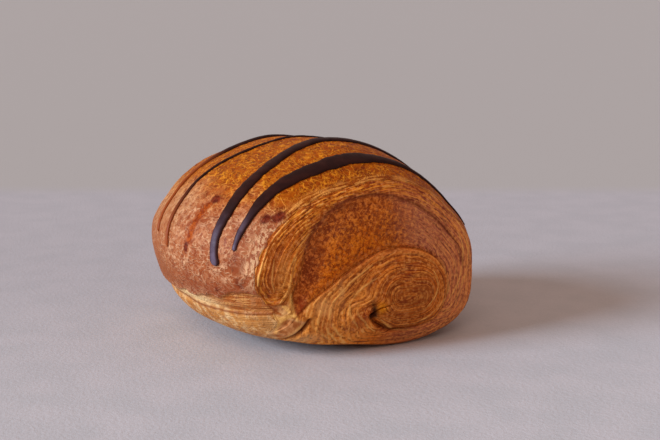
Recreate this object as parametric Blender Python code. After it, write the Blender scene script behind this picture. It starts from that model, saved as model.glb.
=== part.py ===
"""Pain au chocolat: one rolled, laminated and baked roll with dark chocolate drizzled round it.

Metres, +Z up. The roll lies along Y, its spiral end that faces the viewer is at -Y, and the
origin is at the middle of the base, on the surface that the roll rests on.
"""

import math

import bmesh
import bpy
import numpy as np

# The roll between its two creases, where the skin meets the laminated ends
ROLL_LENGTH = 0.0702
HALF_WIDTH = 0.0472
CROWN_HEIGHT = 0.0631
AXIS_HEIGHT = 0.0243
BASE_SINK = 0.0011
SIDE_OFFSET = 0.0024
LEAN = -0.128
END_DRIFT = -0.0027

# How much each end is narrower, lower and higher off the base than the middle
FRONT_TAPER = {"width": 0.190, "crown": 0.149, "keel": 0.07, "power": 3.15}
REAR_TAPER = {"width": 0.293, "crown": 0.105, "keel": 0.16, "power": 1.81}

# Squareness of the section above and below its widest line, and its uneven roundness
CROWN_POWER = 1.72
BASE_POWER = 3.27
SKEW = -0.030
LOBE_COS = -0.042
LOBE_SIN = 0.035

# The skin's gentle unevenness: height, then waves round and along the roll with their phases
SWELL = 0.00018
SWELL_WAVES = ((2.0, 3.1, 0.6), (5.0, -2.3, 0.0), (3.0, 7.0, 0.0))
SWELL_SETTLE = 1.6

# The sheet's end on the lower left: edge of the brown skin, groove under it and lower lip
SKIN_EDGE_TURN = math.radians(187.0)
SKIN_EDGE_DROP = 0.0010
SKIN_EDGE_SPAN = 0.05
TAIL_GROOVE_TURN = math.radians(191.5)
TAIL_GROOVE_DEPTH = 0.0008
TAIL_GROOVE_SPAN = 0.045
TAIL_END_TURN = math.radians(214.0)
TAIL_END_SPAN = 0.25

# The spiral of the rolled sheet, seen on the end: x and z of the eye and of the inner tip
EYE = (0.0160, 0.0171)
TIP = (0.0019, 0.0144)
TIP_TURN = math.radians(205.0)
FOLD_SHARE = 0.30
CORE_RADIUS = 0.0131
TIP_ROUNDING = 0.085
CORE_CLEARANCE = 0.66
LOOP_SPREAD = 0.009
SPREAD_SHARES = (0.50, 0.86)
UNROLL_POWER = 16.0

# The groove between the smooth inner part of the second wrap and its finely layered rim
GROOVE_ROW = 0.55
GROOVE_RISE = 0.28
GROOVE_TOP_SHARE = 0.67
GROOVE_REACH = 0.125

# Relief of the ends. Places along the spiral are shares of a wrap, counted from the tip
DOME_DEPTH = 0.0050
DOME_POWER = 3.0
SHOULDER_POWER = 0.75
CORE_BULGE = 0.0020
CORE_BULGE_REACH = 0.0196
SEAM_DEPTH = 0.0013
SEAM_HALF_WIDTH = 0.0013
SEAM_FADE_POWER = 6.0
SLIT_DEPTH = 0.0031
SLIT_SHARE = 0.16
SLIT_SPAN = 0.15
TIP_HOLE_DEPTH = 0.0050
TIP_HOLE_SPAN = 0.06
FOLD_DEPTH = 0.0005
FOLD_HOLE_SPAN = 0.14
VALLEY_DEPTH = 0.0024
VALLEY_SHARE = 0.85
VALLEY_SPAN = 0.09
UPPER_VALLEY = 0.45
UPPER_VALLEY_SHARE = 0.66
UPPER_VALLEY_SPAN = 0.13
VALLEY_ROW_SHIFT = 0.10
VALLEY_ROW_SPAN = 0.13
RELIEF_MARGIN = 0.005

# Thick leaves of dough: height, how many show across a wrap, and the rows that draw them
LEAF_RELIEF = 0.0005
LEAVES = 4
LEAF_FULL_THICKNESS = 0.006
LEAF_EDGE_ROWS = 0.15
FRONT_ROWS = (0.0, 0.07, 0.20, 0.34, 0.48, 0.60, 0.72, 0.84, 0.94, 1.0)
REAR_ROWS = (0.0, 0.10, 0.30, 0.50, 0.70, 0.90, 1.0)

# Mesh counts
COLUMNS = 76
STATIONS = 20
COLUMN_CROWDING = 0.35
MERGE_DISTANCE = 0.00002

# Drizzled stripes: turns where each starts and ends, then its place along the roll and its
# half width at points spread evenly between them
STRIPES = (
    {
        "turns": (167, 14),
        "along": (-0.82, -0.76, -0.75, -0.78, -0.86),
        "half_widths": (0.0009, 0.0018, 0.0022, 0.0018, 0.0008),
    },
    {
        "turns": (174, 24),
        "along": (-0.665, -0.52, -0.31, -0.34, -0.46),
        "half_widths": (0.0012, 0.0016, 0.0018, 0.0016, 0.0008),
    },
    {
        "turns": (172, 36),
        "along": (-0.02, 0.12, 0.12, 0.08, 0.02),
        "half_widths": (0.0006, 0.0006, 0.0008, 0.0007, 0.0006),
    },
    {
        "turns": (168, 30),
        "along": (0.22, 0.46, 0.50, 0.46, 0.36),
        "half_widths": (0.0006, 0.0009, 0.0018, 0.0017, 0.0009),
    },
)
STRIPE_FULL_HALF_WIDTH = 0.0012
STRIPE_HEIGHT = 0.0008
STRIPE_ROOT = 0.0010
STRIPE_LIFT = 0.0001
STRIPE_END_SHARE = 0.04
STRIPE_END_SCALE = 0.55
STRIPE_STEPS = 26
STRIPE_SIDES = 8

CRUST_COLOUR = (0.52, 0.20, 0.05, 1.0)
CHOCOLATE_COLOUR = (0.035, 0.014, 0.011, 1.0)


def smoothstep(value):
    """0 below 0, 1 above 1, with a soft rise between."""
    clipped = np.clip(value, 0.0, 1.0)
    return clipped * clipped * (3.0 - 2.0 * clipped)


def bump(value, centre, width):
    """A bell of height 1."""
    return np.exp(-(((value - centre) / width) ** 2))


def taper(key, along):
    """The front's or the rear's share of a taper, by the side of the middle that a point is on."""
    return np.where(along < 0.0, FRONT_TAPER[key], REAR_TAPER[key])


def skin_relief(turn, along):
    """How far the skin stands out of, or in from, the smooth section, as a length."""
    below_edge = smoothstep((turn - SKIN_EDGE_TURN) / SKIN_EDGE_SPAN)
    above_end = 1.0 - smoothstep((turn - TAIL_END_TURN) / TAIL_END_SPAN)
    edge = -SKIN_EDGE_DROP * below_edge * above_end
    groove = -TAIL_GROOVE_DEPTH * bump(turn, TAIL_GROOVE_TURN, TAIL_GROOVE_SPAN)
    waves = sum(np.sin(across * turn + length * along + phase) for across, length, phase in SWELL_WAVES)
    off_base = smoothstep(np.sin(turn) + 0.6)
    return edge + groove + SWELL * (waves - SWELL_SETTLE) * off_base


def skin(turn, along):
    """Points of the skin. turn goes round from +X over the top, along runs from -1 to 1."""
    turn = np.mod(turn, 2.0 * math.pi)
    turn, along = np.broadcast_arrays(turn, along)
    share = np.abs(along) ** taper("power", along)
    half = HALF_WIDTH * (1.0 - taper("width", along) * share)
    crown = CROWN_HEIGHT * (1.0 - taper("crown", along) * share)
    keel = -BASE_SINK + (BASE_SINK + AXIS_HEIGHT * taper("keel", along)) * share
    c, s = np.cos(turn), np.sin(turn)
    upper = smoothstep(0.5 + s)
    power = BASE_POWER + (CROWN_POWER - BASE_POWER) * upper
    rise = np.where(s > 0.0, crown - AXIS_HEIGHT, AXIS_HEIGHT - keel)
    radius = (np.abs(c / half) ** power + np.abs(s / rise) ** power) ** (-1.0 / power)
    uneven = SKEW * np.sin(2.0 * turn) * upper + LOBE_COS * np.cos(3.0 * turn) + LOBE_SIN * np.sin(3.0 * turn)
    radius = radius * (1.0 + uneven) + skin_relief(turn, along)
    z = radius * s
    x = radius * c + LEAN * z + END_DRIFT * along + SIDE_OFFSET
    return np.stack([x, along * ROLL_LENGTH / 2.0, np.maximum(z + AXIS_HEIGHT, 0.0)], -1)


def column_turns(count):
    """Turns round the section from the spiral's tip on, closer together at the sheet's end."""
    even = TIP_TURN + np.arange(count + 1) * 2.0 * math.pi / count
    return even - COLUMN_CROWDING * np.sin(even - TIP_TURN)


def fold_feet(count):
    """For each column of the end, its inner point on the fold from the tip to the eye."""
    step = np.arange(count + 1) / count
    reach = np.minimum(np.minimum(step, 1.0 - step) / FOLD_SHARE, 1.0)
    share = np.sin(0.5 * math.pi * reach)[:, None]
    return np.array(TIP) + (np.array(EYE) - np.array(TIP)) * share


def wrap_radius(share, outline):
    """The first wrap's outer edge, from the tip (share 0) round to where it meets the outline."""
    tongue = np.minimum(CORE_RADIUS * (1.0 - np.exp(-share / TIP_ROUNDING)), CORE_CLEARANCE * outline)
    start, end = SPREAD_SHARES
    loop = tongue + LOOP_SPREAD * smoothstep((share - start) / (end - start))
    return loop + (outline - loop) * share ** UNROLL_POWER


def groove_row(share):
    """Where across the second wrap the groove runs."""
    return GROOVE_ROW + GROOVE_RISE * bump(share, GROOVE_TOP_SHARE, GROOVE_REACH)


def seam_depth(share):
    """Depth of the line between the first wrap and the second, an open slit under the tongue."""
    slit = SLIT_DEPTH * bump(share, SLIT_SHARE, SLIT_SPAN)
    hole = TIP_HOLE_DEPTH * bump(share, 0.0, TIP_HOLE_SPAN)
    return np.maximum(slit, np.maximum(hole, SEAM_DEPTH * (1.0 - share ** SEAM_FADE_POWER)))


def fold_depth(share):
    """Depth of the fold over the tongue, from the tip's hole to nothing at the eye."""
    reach = np.minimum(share, 1.0 - share) / FOLD_SHARE
    hole = TIP_HOLE_DEPTH * bump(reach, 0.0, FOLD_HOLE_SPAN)
    return np.maximum(hole, FOLD_DEPTH * (1.0 - smoothstep(reach)))


def valley_depth(share, row):
    """Depth of the hollow inside the groove, deepest on the lower left of the second wrap."""
    lower = bump(share, VALLEY_SHARE, VALLEY_SPAN)
    upper = UPPER_VALLEY * bump(share, UPPER_VALLEY_SHARE, UPPER_VALLEY_SPAN)
    across = bump(row, groove_row(share) - VALLEY_ROW_SHIFT, VALLEY_ROW_SPAN)
    return VALLEY_DEPTH * (lower + upper) * across


def leaf_height(row, thickness):
    """Ridges of the leaves, which die out at a wrap's edges and where it is thin."""
    inside = smoothstep(np.minimum(row, 1.0 - row) / LEAF_EDGE_ROWS)
    thick = smoothstep(thickness / LEAF_FULL_THICKNESS)
    return LEAF_RELIEF * np.cos(2.0 * math.pi * LEAVES * row) * inside * thick


def end_height(wrap, share, row, inner, outer, outline):
    """How far one wrap of the end stands out of the plane of the crease."""
    radius = inner + (outer - inner) * row
    reach = np.clip(radius / outline, 0.0, 1.0)
    dome = DOME_DEPTH * (1.0 - reach ** DOME_POWER) ** SHOULDER_POWER
    core = CORE_BULGE * (1.0 - smoothstep(radius / CORE_BULGE_REACH))
    inner_depth = seam_depth(share) if wrap else fold_depth(share)
    outer_depth = 0.0 if wrap else seam_depth(share)
    inner_seam = inner_depth * bump(radius - inner, 0.0, SEAM_HALF_WIDTH)
    outer_seam = outer_depth * bump(outer - radius, 0.0, SEAM_HALF_WIDTH)
    valley = wrap * valley_depth(share, row)
    relief = core - np.maximum(inner_seam, outer_seam) - valley + leaf_height(row, outer - inner)
    return dome + relief * smoothstep((outline - radius) / RELIEF_MARGIN)


def end_grid(count, rows, wrap, side):
    """Points of one wrap of the end, as an array of columns by rows."""
    turns = column_turns(count)
    ring = skin(turns, float(side))[:, [0, 2]]
    feet = fold_feet(count)
    outline = np.linalg.norm(ring - feet, axis=1)[:, None]
    share = (np.arange(count + 1) / count)[:, None]
    row = np.array(rows)[None, :]
    first = wrap_radius(share, outline)
    inner, outer = (first, outline) if wrap else (0.0 * first, first)
    radius = inner + (outer - inner) * row
    place = feet[:, None, :] + (ring - feet)[:, None, :] * (radius / outline)[..., None]
    height = end_height(wrap, share, row, inner, outer, outline)
    return np.stack([place[..., 0], side * (ROLL_LENGTH / 2.0 + height), place[..., 1]], -1)


def add_grid(mesh, points, outward):
    """Adds a grid of points as faces, turned over where outward is False."""
    vertices = [[mesh.verts.new(point) for point in line] for line in points]
    for near, far in zip(vertices[:-1], vertices[1:]):
        for a, b, c, d in zip(near[:-1], near[1:], far[1:], far[:-1]):
            mesh.faces.new((a, b, c, d) if outward else (d, c, b, a))


def build_roll():
    """The whole roll without its drizzle, as one closed mesh object."""
    mesh = bmesh.new()
    turns = column_turns(COLUMNS)
    stations = np.linspace(-1.0, 1.0, STATIONS)
    add_grid(mesh, skin(turns[:, None], stations[None, :]), True)
    for side in (-1, 1):
        rows = FRONT_ROWS if side < 0 else REAR_ROWS
        for wrap in (0, 1):
            add_grid(mesh, end_grid(COLUMNS, rows, wrap, side), side > 0)
    bmesh.ops.remove_doubles(mesh, verts=mesh.verts, dist=MERGE_DISTANCE)
    bmesh.ops.dissolve_degenerate(mesh, dist=MERGE_DISTANCE, edges=mesh.edges)
    bmesh.ops.triangulate(mesh, faces=[face for face in mesh.faces if len(face.verts) > 3])
    bmesh.ops.recalc_face_normals(mesh, faces=mesh.faces)
    return finish_object(mesh, "pastry_roll", crust_material())


def stripe_path(stripe):
    """Turn, place along the roll and half width at each step of a drizzled stripe."""
    share = np.linspace(0.0, 1.0, STRIPE_STEPS)
    start, end = stripe["turns"]
    turn = np.radians(start + (end - start) * share)
    along = smooth_through(stripe["along"], share)
    ends = smoothstep(np.minimum(share, 1.0 - share) / STRIPE_END_SHARE)
    half_width = smooth_through(stripe["half_widths"], share)
    return turn, along, half_width * (STRIPE_END_SCALE + (1.0 - STRIPE_END_SCALE) * ends)


def smooth_through(values, share):
    """A smooth curve through evenly spaced values, read at each share from 0 to 1."""
    knots = np.array(values)
    place = share * (len(knots) - 1)
    index = np.minimum(place.astype(int), len(knots) - 2)
    part = place - index
    padded = np.concatenate([[2 * knots[0] - knots[1]], knots, [2 * knots[-1] - knots[-2]]])
    before, here, there, after = (padded[index + step] for step in range(4))
    slope_here = (there - before) / 2.0
    slope_there = (after - here) / 2.0
    square, cube = part ** 2, part ** 3
    return (
        (2 * cube - 3 * square + 1) * here
        + (cube - 2 * square + part) * slope_here
        + (3 * square - 2 * cube) * there
        + (cube - square) * slope_there
    )


def skin_frame(turn, along):
    """Points on the skin with its unit outward normal and its unit direction along the roll."""
    step = 0.002
    here = skin(turn, along)
    round_way = skin(turn + step, along) - skin(turn - step, along)
    long_way = skin(turn, along + step) - skin(turn, along - step)
    normal = np.cross(long_way, round_way)
    normal = normal / np.linalg.norm(normal, axis=-1, keepdims=True)
    long_way = long_way / np.linalg.norm(long_way, axis=-1, keepdims=True)
    return here, normal, long_way


def build_stripe(number, stripe):
    """One stripe of chocolate: a low rounded bead, its root sunk in the crust."""
    turn, along, half_width = stripe_path(stripe)
    here, normal, long_way = skin_frame(turn, along)
    angles = np.arange(STRIPE_SIDES) * 2.0 * math.pi / STRIPE_SIDES
    lift = np.where(np.sin(angles) > 0.0, STRIPE_HEIGHT, STRIPE_ROOT) * np.sin(angles)
    slim = np.minimum(half_width / STRIPE_FULL_HALF_WIDTH, 1.0)
    across = long_way[:, None, :] * (np.cos(angles)[None, :] * half_width[:, None])[..., None]
    upward = normal[:, None, :] * (lift[None, :] * slim[:, None] + STRIPE_LIFT)[..., None]
    points = here[:, None, :] + across + upward
    mesh = bmesh.new()
    add_grid(mesh, np.concatenate([points, points[:, :1]], axis=1), True)
    bmesh.ops.remove_doubles(mesh, verts=mesh.verts, dist=MERGE_DISTANCE)
    bmesh.ops.holes_fill(mesh, edges=mesh.edges, sides=STRIPE_SIDES)
    bmesh.ops.recalc_face_normals(mesh, faces=mesh.faces)
    return finish_object(mesh, f"stripe_{number}", chocolate_material())


def finish_object(mesh, name, material):
    """Turns a bmesh into a smooth shaded object with one material."""
    data = bpy.data.meshes.new(name)
    mesh.to_mesh(data)
    mesh.free()
    data.materials.append(material)
    data.shade_smooth()
    thing = bpy.data.objects.new(name, data)
    bpy.context.scene.collection.objects.link(thing)
    return thing


def named_material(name, colour, roughness):
    """A Principled material, made once."""
    material = bpy.data.materials.get(name)
    if material is None:
        material = bpy.data.materials.new(name)
        material.use_nodes = True
        shader = material.node_tree.nodes["Principled BSDF"]
        shader.inputs["Base Color"].default_value = colour
        shader.inputs["Roughness"].default_value = roughness
        shader.inputs["Metallic"].default_value = 0.0
    return material


def crust_material():
    return named_material("baked_crust", CRUST_COLOUR, 0.5)


def chocolate_material():
    return named_material("dark_chocolate", CHOCOLATE_COLOUR, 0.35)


def fuse(body, pieces):
    """Joins the pieces to the body by one Boolean union, applies it and removes the pieces."""
    group = bpy.data.collections.new("drizzle")
    for piece in pieces:
        group.objects.link(piece)
        bpy.context.scene.collection.objects.unlink(piece)
    bpy.context.scene.collection.children.link(group)
    union = body.modifiers.new("drizzle", "BOOLEAN")
    union.operation = "UNION"
    union.operand_type = "COLLECTION"
    union.collection = group
    union.solver = "EXACT"
    union.material_mode = "TRANSFER"
    graph = bpy.context.evaluated_depsgraph_get()
    fused = bpy.data.meshes.new_from_object(body.evaluated_get(graph))
    body.modifiers.remove(union)
    body.data = fused
    for piece in pieces:
        bpy.data.objects.remove(piece)
    bpy.data.collections.remove(group)


def main():
    for thing in list(bpy.data.objects):
        bpy.data.objects.remove(thing)
    roll = build_roll()
    stripes = [build_stripe(number, stripe) for number, stripe in enumerate(STRIPES)]
    fuse(roll, stripes)


main()
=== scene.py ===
"""The looks of the pain au chocolat: fine meshes of its crust, its laminated ends and its
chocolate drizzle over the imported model, with their materials, the light and the camera.

Metres, +Z up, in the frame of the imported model. The roll lies along Y and its spiral end faces -Y.
"""
import math

import bpy
import numpy as np
from mathutils import Matrix, Vector


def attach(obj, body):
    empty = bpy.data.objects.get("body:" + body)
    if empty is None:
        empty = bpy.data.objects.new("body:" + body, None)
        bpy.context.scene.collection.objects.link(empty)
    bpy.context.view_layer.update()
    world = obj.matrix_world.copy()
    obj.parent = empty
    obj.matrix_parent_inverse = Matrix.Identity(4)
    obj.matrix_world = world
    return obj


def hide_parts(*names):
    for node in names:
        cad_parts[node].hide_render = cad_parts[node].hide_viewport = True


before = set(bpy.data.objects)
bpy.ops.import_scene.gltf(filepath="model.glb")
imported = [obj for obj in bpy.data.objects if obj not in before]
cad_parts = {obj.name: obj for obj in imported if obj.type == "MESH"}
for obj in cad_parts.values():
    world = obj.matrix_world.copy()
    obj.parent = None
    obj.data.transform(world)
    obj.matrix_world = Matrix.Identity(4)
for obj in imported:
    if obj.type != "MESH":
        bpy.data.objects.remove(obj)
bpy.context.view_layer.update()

# The form, with the names and values of the part's source
ROLL_LENGTH = 0.0702
HALF_WIDTH = 0.0472
CROWN_HEIGHT = 0.0631
AXIS_HEIGHT = 0.0243
BASE_SINK = 0.0011
SIDE_OFFSET = 0.0024
LEAN = -0.128
END_DRIFT = -0.0027
FRONT_TAPER = {"width": 0.190, "crown": 0.149, "keel": 0.07, "power": 3.15}
REAR_TAPER = {"width": 0.293, "crown": 0.105, "keel": 0.16, "power": 1.81}
CROWN_POWER = 1.72
BASE_POWER = 3.27
SKEW = -0.030
LOBE_COS = -0.042
LOBE_SIN = 0.035
SWELL = 0.00018
SWELL_WAVES = ((2.0, 3.1, 0.6), (5.0, -2.3, 0.0), (3.0, 7.0, 0.0))
SWELL_SETTLE = 1.6
SKIN_EDGE_TURN = math.radians(187.0)
SKIN_EDGE_DROP = 0.0010
SKIN_EDGE_SPAN = 0.03
TAIL_GROOVE_TURN = math.radians(191.5)
TAIL_GROOVE_DEPTH = 0.0008
TAIL_GROOVE_SPAN = 0.030
TAIL_END_TURN = math.radians(214.0)
TAIL_END_SPAN = 0.25
EYE = (0.0160, 0.0171)
TIP = (0.0019, 0.0144)
TIP_TURN = math.radians(205.0)
FOLD_SHARE = 0.30
CORE_RADIUS = 0.0131
TIP_ROUNDING = 0.085
CORE_CLEARANCE = 0.66
LOOP_SPREAD = 0.009
SPREAD_SHARES = (0.50, 0.86)
UNROLL_POWER = 16.0
GROOVE_ROW = 0.55
GROOVE_RISE = 0.28
GROOVE_TOP_SHARE = 0.67
GROOVE_REACH = 0.125
GROOVE_FALL = 0.14
GROOVE_FALL_SHARE = 0.76
DOME_DEPTH = 0.0050
DOME_POWER = 3.0
SHOULDER_POWER = 0.75
CORE_BULGE = 0.0020
CORE_BULGE_REACH = 0.0196
SEAM_DEPTH = 0.0010
SEAM_HALF_WIDTH = 0.0009
SEAM_FADE_POWER = 6.0
SLIT_DEPTH = 0.0026
SLIT_SHARE = 0.16
SLIT_SPAN = 0.15
TIP_HOLE_DEPTH = 0.0055
TIP_HOLE_SPAN = 0.06
FOLD_DEPTH = 0.0002
FOLD_HOLE_SPAN = 0.14
VALLEY_DEPTH = 0.0024
VALLEY_SHARE = 0.85
VALLEY_SPAN = 0.09
UPPER_VALLEY = 0.45
UPPER_VALLEY_SHARE = 0.66
UPPER_VALLEY_SPAN = 0.13
VALLEY_ROW_SHIFT = 0.10
VALLEY_ROW_SPAN = 0.13
RELIEF_MARGIN = 0.005
COLUMN_CROWDING = 0.35

# Where the front crease steps back from its plane: beside the skin's lower edge and at the cut end
CREASE_SHIFT = 0.0013
CREASE_SHIFT_TURN = math.radians(181.0)
CREASE_SHIFT_SPAN = math.radians(9.0)
CUT_SHIFT = 0.0080
CUT_SHIFT_TURNS = (math.radians(197.0), math.radians(208.0), math.radians(214.0), math.radians(234.0))
CREASE_SHIFT_REACH = 0.40
CREASE_SHIFT_POWER = 6.0
EDGE_RISE = math.radians(4.5)
EDGE_RISE_REACH = 0.7
EDGE_RAGGED = math.radians(1.1)

# Mesh counts. A piece stays under 200,000 triangles
SKIN_COLUMNS = 600
SKIN_STATIONS = 156
END_COLUMNS = {-1: 440, 1: 300}
END_ROWS = {-1: 104, 1: 72}
ROW_CROWDING = 0.35
WELD = 2e-6

# Leaves of dough on the ends: spacing, how many a wrap shows, and how far they stand out
LOOP_LEAVES = 12.0
LOOP_END_RADIUS = CORE_RADIUS + LOOP_SPREAD
LEAF_PITCH = LOOP_END_RADIUS / LOOP_LEAVES
RIM_LEAF_PITCH = 0.00112
RIM_LEVEL = 11.0
NEST_MIDDLE = (0.0055, 0.0132)
NEST_LEVEL = 0.37
LEAF_HEIGHT = 0.00030
FINE_LEAF_HEIGHT = 0.00014
LIP_HEIGHT = 0.00050
TRAVEL_UNIT = 0.008
CUT_TOP = ((-0.0318, 0.0166), (-0.0204, 0.0128))
CUT_SEAM = ((-0.0200, 0.0132), (-0.0248, 0.0045))
CUT_SEAM_DEPTH = 0.0011
TAIL_LEAF_PITCH = 0.0011
TAIL_LEAF_HEIGHT = 0.00016
BLISTER_HEIGHT = 0.00008
WRINKLE_HEIGHT = 0.00016

# Dark spots of the crust: turn in degrees, place along the roll, both half sizes, strength
CRUST_SPOTS = (
    (150.0, -0.90, 2.4, 0.030, 1.0),
    (146.5, -0.96, 3.4, 0.030, 1.0),
    (172.0, -0.84, 4.0, 0.050, 0.35),
    (179.0, -0.85, 2.4, 0.040, 0.45),
    (149.0, -0.36, 2.3, 0.055, 1.0),
    (170.0, -0.31, 1.7, 0.024, 1.0),
    (183.0, -0.62, 1.0, 0.018, 0.8),
)
# Patches of colour on the front end, some of them painted shade and shadow: middle across and up, both half sizes
PURPLE_PATCHES = (
    (0.0160, 0.0385, 0.0160, 0.0080),
    (-0.0070, 0.0215, 0.0022, 0.0030),
    (-0.0120, 0.0375, 0.0060, 0.0040),
    (0.0250, 0.0300, 0.0050, 0.0080),
    (-0.0190, 0.0290, 0.0030, 0.0050),
)
ORANGE_PATCHES = ((-0.001, 0.0330, 0.009, 0.006), (-0.0130, 0.0255, 0.006, 0.007), (0.0015, 0.0170, 0.002, 0.003))
PALE_PATCHES = (
    (-0.0190, 0.0060, 0.0040, 0.0030),
    (-0.0150, 0.0168, 0.0035, 0.0030),
    (-0.0098, 0.0208, 0.0012, 0.0030),
)
LOBE_GOLD = ((-0.0285, 0.0275, 0.0026, 0.0060), (-0.0262, 0.0215, 0.0012, 0.0030))
VALLEY_PATCHES = ((-0.0215, 0.0300, 0.0020, 0.0100), (-0.0222, 0.0170, 0.0012, 0.0035))
# Painted shade: on the end's lower right, and round the band's rounded lower end
PAINTED_SHADE_PATCHES = ((0.0150, 0.0165, 0.0110, 0.0070), (0.0120, 0.0070, 0.0100, 0.0040))
LOBE_SHADE = ((-0.0338, 0.0232, 0.0042, 0.0040),)
# Painted shadow in the hole at the tongue's tip
HOLE_SHADOW_PATCHES = ((0.0004, 0.0147, 0.0011, 0.0024), (0.0010, 0.0125, 0.0010, 0.0014))
GLOW_PATCHES = ((0.0032, 0.0146, 0.0017, 0.0017),)
RED_AND_SHADOW_PATCHES = (
    (-0.0225, 0.0175, 0.0013, 0.0038),
    (-0.0040, 0.0110, 0.0030, 0.0030),
    (-0.0150, 0.0110, 0.0020, 0.0030),
    (-0.0308, 0.0300, 0.0022, 0.0065),
    (0.0220, 0.0500, 0.0080, 0.0030),
    # The last one is painted shadow just below the band's rounded lower end
    (-0.0300, 0.0174, 0.0042, 0.0013),
)
# Thin lines of the front end: smooth curves through a few points across and up, in millimetres
PALE_LINES = (
    ((-7.2, 22.9), (-10.3, 20.6), (-12.7, 17.8), (-14.2, 15.8)),
    ((-19.0, 14.9), (-18.7, 11.4), (-16.1, 8.6), (-12.5, 6.0)),
    ((-15.5, 12.6), (-14.2, 9.3), (-11.0, 6.2)),
    ((-14.2, 14.9), (-13.5, 12.2), (-10.4, 8.2), (-7.5, 6.3)),
    ((-7.1, 17.2), (-7.0, 13.2), (-4.3, 9.0)),
    ((-9.6, 20.8), (-6.9, 23.5), (-2.8, 25.8), (0.9, 27.8)),
    ((-4.0, 17.2), (-4.9, 14.1), (-2.1, 10.5), (2.5, 7.0)),
    ((-7.1, 17.2), (-4.3, 20.2), (-0.2, 22.8), (4.2, 24.4)),
    ((22.1, 24.0), (24.1, 19.6), (22.9, 15.7), (20.2, 13.0)),
    ((26.1, 25.6), (29.1, 20.2), (29.4, 15.7), (25.4, 12.4), (20.6, 9.2), (15.5, 7.9)),
    ((3.3, 10.7), (9.1, 6.5), (12.9, 5.6), (16.8, 5.4)),
    ((33.0, 39.1), (38.2, 31.0), (37.4, 21.6), (33.4, 13.6), (27.6, 9.1)),
    ((34.2, 34.0), (35.9, 28.7), (34.5, 20.3), (29.6, 13.5)),
    ((-19.5, 38.9), (-22.6, 35.7), (-24.5, 32.7), (-26.5, 29.1), (-28.4, 24.1)),
    ((-24.1, 32.1), (-25.5, 27.2), (-26.6, 23.1), (-28.5, 19.5)),
    ((-30.7, 32.6), (-31.5, 27.1), (-30.6, 22.8)),
    ((-32.8, 32.7), (-34.7, 28.3), (-34.9, 24.7)),
)
RIDGE_LINES = (
    ((-32.5, 17.4), (-30.6, 15.6), (-28.4, 14.2), (-25.0, 15.0), (-23.4, 13.4)),
    ((-27.6, 8.6), (-28.6, 11.4), (-28.0, 13.6), (-25.3, 14.7)),
    ((-24.6, 5.6), (-24.0, 8.4), (-22.4, 11.0), (-20.6, 12.4)),
    ((-25.6, 21.5), (-25.2, 18.5), (-24.6, 15.0)),
    ((-27.8, 18.0), (-26.6, 17.4), (-25.6, 15.6)),
)
DARK_LINES = (
    ((0.1, 16.0), (2.5, 16.3), (5.5, 18.9), (8.7, 20.7), (14.0, 22.0)),
    ((-35.1, 26.5), (-34.2, 22.5), (-32.4, 20.0), (-30.7, 18.8), (-28.4, 18.9), (-26.5, 21.0), (-25.6, 23.7)),
)
PALE_LINE_HALF_WIDTH = 0.00028
DARK_LINE_HALF_WIDTH = 0.00038
RIDGE_HALF_WIDTH = 0.00060
LINE_STEPS = 12
LINE_HEIGHT = 0.00028
MILLIMETRE = 0.001
# The band's rounded lower end, and how far the dough below it lies back
LOBE_MIDDLE = (-0.0304, 0.0255)
LOBE_HALF = (0.0047, 0.0070)
LOBE_TOP = 0.0260
LOBE_FADE = 0.0050
BELOW_LOBE_DEPTH = 0.0004
# The tongue's innermost leaves lie round this line, in metres across and up
CORE_LINE = ((0.0100, 0.0170), (0.0180, 0.0164))
CORE_LEAF_PITCH = 0.00098
CORE_ROUNDING = 0.0022

# Chocolate drizzle: turns, place along the roll, half widths as in the part's source
# From the turn given as sheen_from on, a sheen is painted into the stripe's colour
STRIPES = (
    {
        "turns": (167, 14),
        "along": (-0.82, -0.76, -0.75, -0.78, -0.86),
        "half_widths": (0.0006, 0.0017, 0.0022, 0.0008, 0.0003),
        "spread": 1.30,
        "thin_from": 190.0,
        "sheen_from": 146.0,
    },
    {
        "turns": (174, 24),
        "along": (-0.665, -0.52, -0.31, -0.34, -0.46),
        "half_widths": (0.0012, 0.0016, 0.0018, 0.0016, 0.0008),
        "spread": 1.30,
        "thin_from": 190.0,
        "sheen_from": 150.0,
    },
    {
        "turns": (172, 36),
        "along": (-0.02, 0.12, 0.12, 0.08, 0.02),
        "half_widths": (0.0009, 0.0009, 0.0009, 0.0007, 0.0006),
        "spread": 0.80,
        "thin_from": 141.0,
        "sheen_from": 190.0,
    },
    {
        "turns": (168, 30),
        "along": (0.22, 0.46, 0.50, 0.46, 0.36),
        "half_widths": (0.0008, 0.0010, 0.0018, 0.0017, 0.0009),
        "spread": 1.0,
        "thin_from": 112.0,
        "sheen_from": 190.0,
    },
)
STRIPE_FULL_HALF_WIDTH = 0.0012
STRIPE_HEIGHT = 0.0008
STRIPE_ROOT = 0.0010
STRIPE_LIFT = 0.0001
STRIPE_STEPS = 240
STRIPE_SIDES = 20

# Camera and room
CAMERA_AZIMUTH = math.radians(-30.0)
CAMERA_ELEVATION = math.radians(12.0)
CAMERA_DISTANCE = 0.405
CAMERA_TARGET = Vector((0.0, 0.0, 0.0288))
SENSOR_WIDTH = 36.0
FOCAL_PIXELS = 1250.0
IMAGE_WIDTH, IMAGE_HEIGHT = 660.0, 440.0
AXIS_PIXEL = (303.0, 237.82)
WALL_DISTANCE = 0.257


# --- numbers ---
def smoothstep(value):
    """0 below 0, 1 above 1, with a soft rise between."""
    clipped = np.clip(value, 0.0, 1.0)
    return clipped * clipped * (3.0 - 2.0 * clipped)


def bump(value, centre, width):
    """A bell of height 1."""
    return np.exp(-(((value - centre) / width) ** 2))


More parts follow.
